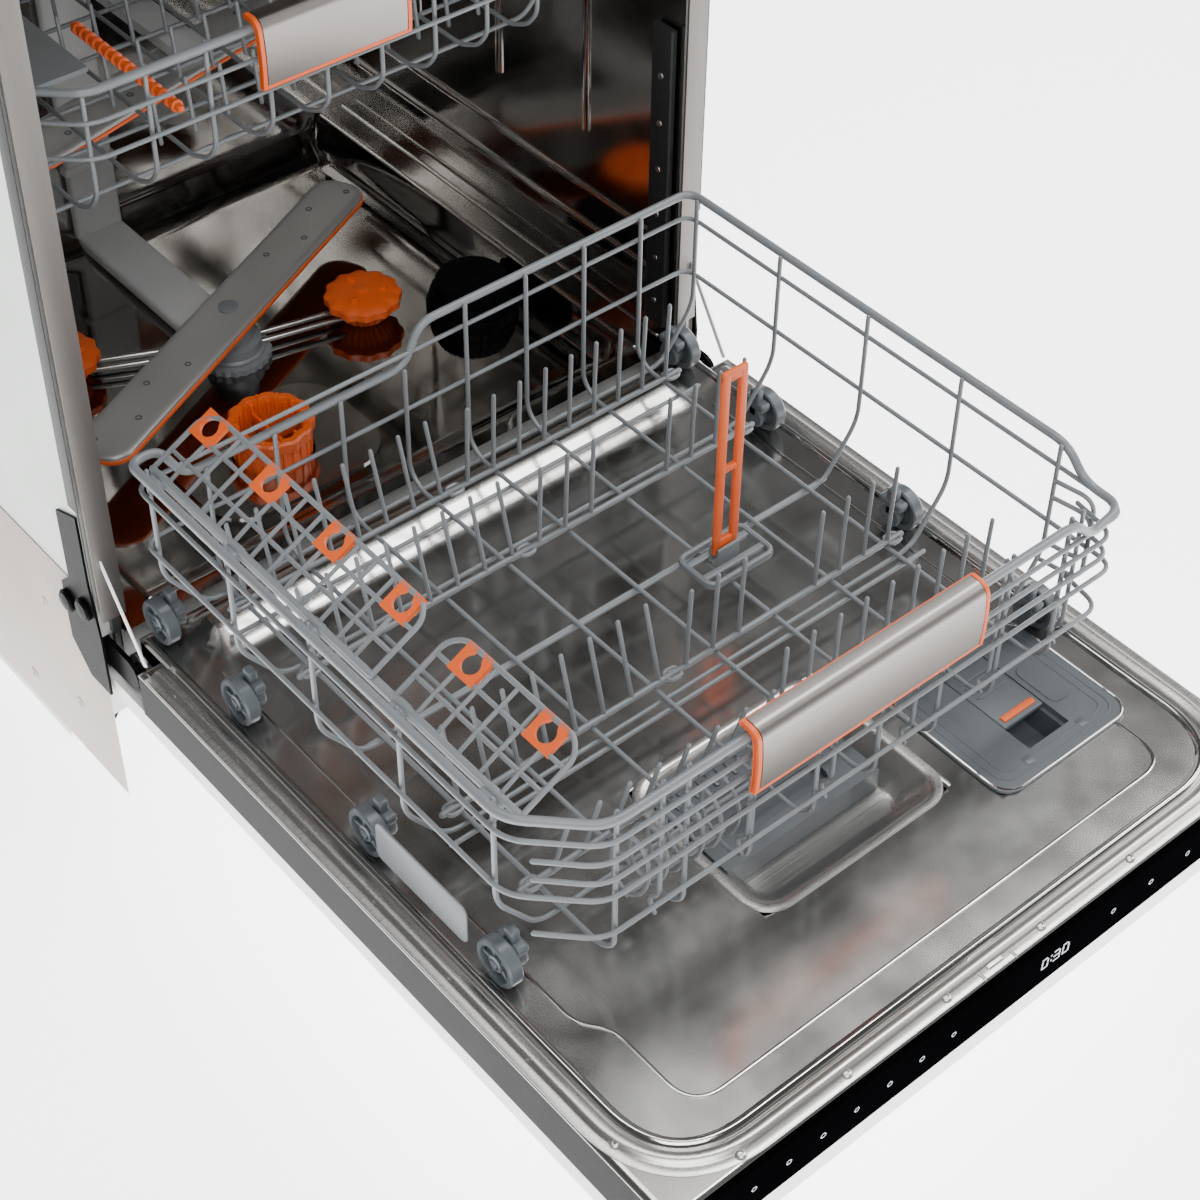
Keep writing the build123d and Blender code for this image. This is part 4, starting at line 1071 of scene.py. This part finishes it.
def make_opening_strips():
    """Up each side of the opening: a black strip with rivets that leaves room for the slides, a black
    edge on the side panel and a steel facing in front of the seal."""
    low, high = corners("tub_wrapper")
    panel_low, panel_high = corners("outer_panels")
    slide_low, slide_high = corners("upper_slides")
    front, edge = panel_low[1], panel_high[0]
    face = high[0] - 9
    gap = 7
    rivet = [(POLE, -0.5), (3, -0.5), (2.6, 0.8), (POLE, 1)]
    heights = np.arange(240, 781, 45)
    heights = heights[(heights < slide_low[2] - 2 * gap) | (heights > slide_high[2] + 2 * gap)]
    strips = []
    rivets = []
    for side, x0, x1 in both_sides(face, face + 6):
        for z0, z1 in ((215, slide_low[2] - gap), (slide_high[2] + gap, high[2] - 20)):
            strips.append(rounded_box((x0, low[1] + 6, z0), (x1, low[1] + 30, z1), 1.5))
        for z in heights:
            rivets.append(lathe(rivet, (side * face, low[1] + 18, z), axis=-X * side, sides=14, first=Y))
        e0, e1 = sorted((side * edge, side * (edge + 1)))
        strips.append(rounded_box((e0, front, 335), (e1, front + 14, 812), 0.4, 2))
    posts = [rounded_box((x0, front - 2.2, 225), (x1, front - 0.6, 812), 0.6, 2)
             for _, x0, x1 in both_sides(276.5, 297)]
    piece("opening_strips", strips, use(rubber), "cabinet")
    piece("opening_posts", posts, use(post_steel), "cabinet")
    piece("opening_rivets", rivets, use(brushed_steel), "cabinet")


def make_arm(level, half, turn_degrees):
    """One spray arm in its own axes: a crowned blade over a lower shell that stands out as an edge,
    both lofted from a long outline with round ends, and small open nozzles."""
    node = f"{level}_arm"
    low, high = corners(node)
    centre = (low + high) / 2
    turn = math.radians(turn_degrees)
    ex = np.array((math.cos(turn), math.sin(turn), 0.0))
    ey = np.cross(Z, ex)
    thick = high[2] - low[2]
    at = (centre[0], centre[1], low[2])
    wide = 25
    outline = rounded_outline(2 - half, half - 2, -wide, wide, 0.8 * wide, 12)

    def shell(profile):
        """Insets of the outline at fractions of the arm's thickness, from the bottom up."""
        return turned(loft([(inset(outline, step), thick * part) for step, part in profile]), at, ex, ey, Z)

    upper = shell(((1, 0.45), (0, 0.5), (0, 0.8), (2, 0.95), (6, 1)))
    lower = shell(((6, 0), (1, 0.12), (-1.3, 0.3), (-1.3, 0.52), (1, 0.56)))
    jet = [(POLE, -1), (3.2, -1), (3.0, 0.9), (1.8, 1.1), (1.5, 0.1), (POLE, 0.0)]
    nozzles = []
    for i, along in enumerate((-0.92, -0.74, -0.55, -0.38, 0.38, 0.55, 0.74, 0.92)):
        place = np.array((centre[0], centre[1], high[2] - 0.6)) + ex * along * half + ey * 9 * (-1) ** i
        nozzles.append(lathe(jet, place, sides=14))
    return node, upper, lower, nozzles


def make_spray_arms():
    """Both arms have a grey blade over an orange edge, and differ in length and angle."""
    for level, half, turn in (("lower", 216, 26), ("upper", 188, 14)):
        node, upper, lower, nozzles = make_arm(level, half, turn)
        piece(f"{level}_arm_blade", [upper], use(brushed_grey), node, [node])
        piece(f"{level}_arm_edge", [lower], use(orange_plastic), node)
        piece(f"{level}_arm_nozzles", nozzles, use(dark_plastic), node)


def brushed_grey():
    """Grey arm cover with a satin metallic coat."""
    return finish("Satin metallic plastic", "#A3A3A1", 0.55, 0.36, (30, 1.5, 1.5), spread=0.08, bump=0.1,
                  depth=0.05)


def make_hub():
    """Grey stepped collar under the arm, with a scalloped ring round its foot."""
    low, high = corners("lower_arm_hub")
    at = ((low[0] + high[0]) / 2, (low[1] + high[1]) / 2, low[2])
    tall = high[2] - low[2]
    collar = [(POLE, 0), (28, 0), (28, 9), (26, 11), (26, 20), (20, 22), (20, tall - 17), (8.9, tall - 16),
              (8.9, tall - 1), (7, tall), (POLE, tall)]
    ring = [(33, 0), (33.5, 6), (31, 7), (26, 7), (26, 0)]
    parts = [lathe(collar, at, sides=72), lathe(ring, at, sides=96, ripple=0.025, lobes=24)]
    piece("arm_hub", parts, use(grey_plastic), "cabinet", ["lower_arm_hub"])


def jet_disc(x, y, base, top, disc):
    """One floor jet: a scalloped cover over a ribbed skirt, a hub and three nozzles on the cover."""
    cover = [(POLE, top + 1.5), (24, top + 1), (30, top - 0.5), (disc, top - 3), (disc, top - 10),
             (30, top - 11), (14, top - 11), (POLE, top - 11)]
    skirt = [(POLE, base), (16, base), (24, base + 8), (26, top - 9), (POLE, top - 9)]
    hub = [(POLE, top), (7, top), (7, top + 2.6), (5.5, top + 3.4), (POLE, top + 3.4)]
    nozzle = [(POLE, top), (5, top), (4, top + 4), (2.2, top + 4.6), (2, top + 2), (POLE, top + 2)]
    parts = [lathe(cover, (x, y, 0), sides=96, ripple=0.035, lobes=12),
             lathe(skirt, (x, y, 0), sides=96, ripple=0.05, lobes=24),
             lathe(hub, (x, y, 0), sides=24)]
    for turn in np.radians((90, 210, 330)):
        parts.append(lathe(nozzle, (x + 18 * math.cos(turn), y + 18 * math.sin(turn), 0), sides=18))
    return parts


def make_floor_jets():
    """Two orange discs, and twin steel pipes that feed each from the hub."""
    low, high = corners("floor_jets")
    disc = 34
    hub = middle("lower_arm_hub")
    parts = []
    pipes = []
    for x, y in ((high[0] - disc, low[1] + disc), (low[0] + disc, high[1] - disc)):
        parts += jet_disc(x, y, low[2], high[2] - 5, disc)
        start = np.array((hub[0], hub[1], low[2] + 11))
        end = np.array((x, y, low[2] + 9))
        run = (end - start) / np.linalg.norm(end - start)
        aside = np.cross(run, Z) * 6
        for way in (-aside, aside):
            pipes.append(tube([start + run * 26 + way, end - run * 18 + way], 2.6, Z, 12))
    piece("jet_discs", parts, use(orange_plastic), "cabinet", ["floor_jets"])
    piece("jet_feed_pipes", pipes, use(brushed_steel), "cabinet")


def make_filter():
    """Orange filter: a cup with a scalloped grip ring, 24 upright fins of two heights and a cross grip."""
    low, high = corners("filter_cup")
    at = ((low[0] + high[0]) / 2, (low[1] + high[1]) / 2, 0)
    foot, top = low[2], high[2]
    inner, outer = 29, 33
    wall = [(POLE, foot), (outer, foot), (outer, top - 8), (outer - 1, top - 7), (inner, top - 7),
            (inner, foot + 3), (POLE, foot + 3)]
    grip = [(inner, top - 12), (36.5, top - 12), (37, top - 3), (35, top - 1), (inner + 1, top - 1),
            (inner, top - 3), (inner, top - 12)]
    parts = [lathe(wall, at), lathed_ring(grip, at, sides=96, ripple=0.03, lobes=12)]
    for i in range(24):
        turn = i * 2 * np.pi / 24
        ex = np.array((math.cos(turn), math.sin(turn), 0.0))
        fin = rounded_box((inner - 2.5, -1.3, top - 34), (outer + 1.5, 1.3, top if i % 2 else top - 4), 0.8, 2)
        parts.append(turned(fin, at, ex, np.cross(Z, ex), Z))
    for x, y in ((inner, 1.5), (1.5, inner)):
        parts.append(turned(rounded_box((-x, -y, top - 26), (x, y, top - 12), 1, 2), at, X, Y, Z))
    piece("filter_basket", parts, use(orange_plastic), "filter_cup", ["filter_cup"])


def make_salt_cap():
    """Black screw cap: three stacked ribbed rings and a grip bar on the top one."""
    low, high = corners("salt_cap")
    at = ((low[0] + high[0]) / 2, (low[1] + high[1]) / 2, 0)
    top = high[2]
    rise = (top - low[2]) / 3
    parts = []
    for i, radius in enumerate((42, 39, 34)):
        foot = low[2] + i * rise
        ring = [(POLE, foot), (radius, foot), (radius, foot + rise * 0.7), (radius - 2, foot + rise * 0.95),
                (POLE, foot + rise * 0.95)]
        parts.append(lathe(ring, at, sides=144, ripple=0.012, lobes=36))
    parts.append(turned(rounded_box((-26, -5, top - 3), (26, 5, top), 2), at, X, Y, Z))
    piece("salt_lid", parts, use(black_plastic), "salt_cap", ["salt_cap"])


def make_duct():
    """Flat water duct: one rounded run down the back wall and one along the floor, two clips and a
    round port."""
    low, high = corners("feed_duct")
    x0, x1, back = low[0], high[0], high[1]
    parts = [rounded_box((x0, back - 11, low[2] + 2), (x1, back, high[2]), 5),
             rounded_box((x0, low[1], low[2]), (x1, back - 6, low[2] + 14.5), 5)]
    for z in (250, 360):
        parts.append(rounded_box((x0 - 3, back - 12.5, z), (x1 + 3, back - 0.4, z + 8), 1.5))
    port = [(POLE, 0), (15, 0), (15, 5), (12, 6.4), (POLE, 6.4)]
    parts.append(lathe(port, ((x0 + x1) / 2, back - 11, high[2] - 19), axis=-Y, sides=32))
    piece("water_duct", parts, use(pale_plastic), "cabinet", ["feed_duct"])


# ------------------------------------------------------------------ upper rack
def make_upper_basket():
    """Shallow basket: a rim, two rings, ribs from side to side and from rear to front, low tines."""
    half, rear, front, rim_z, floor_z = rack_frame("upper_basket")
    s = sizes()
    chamfer = 40
    parts = [wire(rim_loop(half, rear, front, rim_z, chamfer), s.bend, s.rim, Z, 12, closed=True)]
    for drop in (26, 55):
        ring = rim_loop(half - 1, rear - 1, front + 1, rim_z - drop, chamfer)
        parts.append(wire(ring, s.bend, s.wire, Z, closed=True))
    for y in np.linspace(front + 50, rear - 20, 7):
        parts.append(cross_rib(half - s.rim - s.wire, y, rim_z, floor_z, 14, 14, 12))
    low_line = floor_z + 5
    for x in np.linspace(-200, 200, 9):
        line = [(x, rear - 6, rim_z), (x, rear - 6, low_line + 8), (x, rear - 18, low_line),
                (x, front + 40, low_line), (x, front + 18, low_line + 10), (x, front + 6, low_line + 26),
                (x, front + 6, rim_z)]
        parts.append(wire(line, 8, s.wire, X, steps=8))
    for y in np.linspace(front + 70, rear - 60, 5):
        for x in np.linspace(-110, 190, 11):
            parts.append(tube([(x, y, low_line), (x, y + 6, low_line + 42)], s.tine, X, 8))
    piece("upper_basket_wires", parts, use(coated_wire), "upper_rack", ["upper_basket"])


def make_comb():
    """Orange rod with short round teeth on which glasses lean."""
    low, high = corners("comb_rod")
    x = (low[0] + high[0]) / 2
    z = (low[2] + high[2]) / 2
    parts = [tube([(x, low[1] + 2, z), (x, high[1] - 2, z)], 3.0, Z, 12)]
    tooth = [(5, -1.6), (5, 1.6), (3, 2.2), (3, -2.2), (5, -1.6)]
    for y in np.arange(low[1] + 8, high[1] - 6, 9):
        parts.append(lathed_ring(tooth, (x, y, z), axis=Y, sides=16, first=X))
    piece("comb_bar", parts, use(orange_plastic), "upper_rack", ["comb_rod"])


# ------------------------------------------------------------------ stage
def make_stage():
    """Pale floor, three soft lights and a dim room, and the camera in front of the door's left corner."""
    mesh = bpy.data.meshes.new("floor")
    wide = 9.0
    mesh.from_pydata([(-wide, -wide, 0), (wide, -wide, 0), (wide, wide, 0), (-wide, wide, 0)], [], [(0, 1, 2, 3)])
    floor = bpy.data.objects.new("floor", mesh)
    bpy.context.scene.collection.objects.link(floor)
    floor.data.materials.append(finish("Matt white floor", "#FAFAFA", 0.0, 0.8, (60, 60, 60), tint=0.005,
                                       shader={"Emission Color": linear("#FFFFFF"), "Emission Strength": 3.2}))
    world = bpy.data.worlds.new("Room")
    world.use_nodes = True
    tree = world.node_tree
    where = add(tree, "ShaderNodeTexCoord")
    split = add(tree, "ShaderNodeSeparateXYZ", {}, {"Vector": where.outputs["Generated"]})
    ramp = add(tree, "ShaderNodeValToRGB", {}, {"Fac": split.outputs["Z"]})
    for stop, level in zip(ramp.color_ramp.elements, (1.0, 0.12)):
        stop.color = (level, level, level, 1.0)
    ramp.color_ramp.elements[0].position = 0.22
    ramp.color_ramp.elements[1].position = 0.5
    tree.links.new(ramp.outputs[0], tree.nodes["Background"].inputs["Color"])
    tree.nodes["Background"].inputs["Strength"].default_value = 0.9
    bpy.context.scene.world = world
    lights = (("key", (-0.9, -1.6, 2.6), (0.0, -0.2, 0.3), 2.0, 1.4, 70),
              ("fill", (2.2, -1.0, 1.8), (0.1, -0.2, 0.3), 1.6, 1.6, 45),
              ("top", (0.2, 0.3, 2.9), (0.0, -0.2, 0.2), 2.4, 0.7, 30),
              ("edge", (1.5, -0.04, 2.9), (0.0, 0.0, 0.2), 0.5, 1.7, 40))
    for name, place, target, size_x, size_y, power in lights:
        data = bpy.data.lights.new(name, "AREA")
        data.shape = "RECTANGLE"
        data.size = size_x
        data.size_y = size_y
        data.energy = power
        lamp = bpy.data.objects.new(name, data)
        lamp.location = place
        lamp.rotation_euler = (Vector(target) - Vector(place)).to_track_quat("-Z", "Y").to_euler()
        bpy.context.scene.collection.objects.link(lamp)
    data = bpy.data.cameras.new("camera")
    data.lens = 71.11
    data.sensor_width = 36.0
    data.shift_x = -0.0276
    data.shift_y = -0.0665
    data.clip_end = 50.0
    camera = bpy.data.objects.new("camera", data)
    place = Matrix.Translation((-0.833, -1.1288, 1.4886))
    azimuth = Matrix.Rotation(math.radians(-41.7), 4, "Z")
    tilt = Matrix.Rotation(math.radians(90 - 42.5), 4, "X")
    roll = Matrix.Rotation(math.radians(1.5), 4, "Z")
    camera.matrix_world = place @ azimuth @ tilt @ roll
    bpy.context.scene.collection.objects.link(camera)
    bpy.context.scene.camera = camera


# ------------------------------------------------------------------ operators
def operator(label, note, *steps):
    """A Blender operator that runs the given makers in order."""
    words = label.lower().replace(" ", "_")

    def execute(self, context):
        for step in steps:
            step()
        return {"FINISHED"}

    return type("DISHWASHER_OT_" + words, (bpy.types.Operator,),
                {"__doc__": note, "bl_idname": "dishwasher." + words, "bl_label": label, "execute": execute})


OPERATORS = (
    operator("Stage", "Adds the floor, the lights and the camera.", make_stage),
    operator("Frame finishes", "Gives each kept frame node its finish.", finish_nodes),
    operator("Door liner", "Makes the liner sheet with its bead and flange.", make_liner,
             make_liner_edges),
    operator("Flange screws", "Makes the screw heads on the liner's flange.", make_screws),
    operator("Dispenser", "Adds the dispenser's rim, lines and sliding lid.", make_dispenser_trim, make_lid),
    operator("Pocket", "Makes the drawn pocket and the vent unit's ribs.", make_pocket, make_vent),
    operator("Control strip", "Adds marks and figures to the strip, and the latch.", make_strip_marks, make_latch),
    operator("Lower basket", "Makes the lower basket's wires.", make_lower_basket),
    operator("Folding tines", "Makes the four folding rows.", make_tines),
    operator("Handles", "Makes both rack handles.", lambda: make_handle("lower"), lambda: make_handle("upper")),
    operator("Cup shelves", "Makes both cup shelves, their clips and rail.", make_shelf_rail,
             make_shelves),
    operator("Stem post", "Makes the folding post and its foot.", make_post, make_post_base),
    operator("Rack wheels", "Makes the four pairs of wheels, their brackets and the skirt.", make_wheels,
             make_carriers, make_skirt),
    operator("Glass loops", "Makes the row of glass loops.", make_loops),
    operator("Tub", "Makes the pressed floor, the wall ribs and the opening's strips.", make_tub_floor,
             make_tub_ribs, make_opening_strips),
    operator("Hinge corners", "Makes the cheeks, straps and base covers at both hinges.", make_hinge_corners),
    operator("Spray arms", "Makes both spray arms and the lower hub.", make_spray_arms, make_hub),
    operator("Floor jets", "Makes the two jets with their pipes.", make_floor_jets),
    operator("Filter", "Makes the filter cup.", make_filter),
    operator("Salt cap", "Makes the salt container's cap.", make_salt_cap),
    operator("Water duct", "Makes the duct on the back wall and floor.", make_duct),
    operator("Upper rack", "Makes the upper basket and its comb.", make_upper_basket, make_comb),
)


class DISHWASHER_PT_panel(bpy.types.Panel):
    """Lists the pieces with their sizes and colours."""
    bl_idname = "DISHWASHER_PT_panel"
    bl_label = "Dishwasher"
    bl_space_type = "VIEW_3D"
    bl_region_type = "UI"
    bl_category = "Dishwasher"

    def draw(self, context):
        for group in (context.scene.dw_sizes, context.scene.dw_colours):
            for name in group.__annotations__:
                self.layout.prop(group, name)
        for kind in OPERATORS:
            self.layout.operator(kind.bl_idname)


CLASSES = (DishwasherSizes, DishwasherColours, *OPERATORS, DISHWASHER_PT_panel)


def register():
    """Adds the operators and the user's sizes and colours to Blender."""
    for kind in CLASSES:
        bpy.utils.register_class(kind)
    bpy.types.Scene.dw_sizes = PointerProperty(type=DishwasherSizes)
    bpy.types.Scene.dw_colours = PointerProperty(type=DishwasherColours)


def unregister():
    """Takes them out again, in the reverse order."""
    del bpy.types.Scene.dw_colours
    del bpy.types.Scene.dw_sizes
    for kind in reversed(CLASSES):
        bpy.utils.unregister_class(kind)


def main():
    """Runs every operator, then writes the size of what was made."""
    register()
    for kind in OPERATORS:
        group, name = kind.bl_idname.split(".")
        getattr(getattr(bpy.ops, group), name)()
    bpy.context.view_layer.update()


if __name__ == "__main__":
    main()
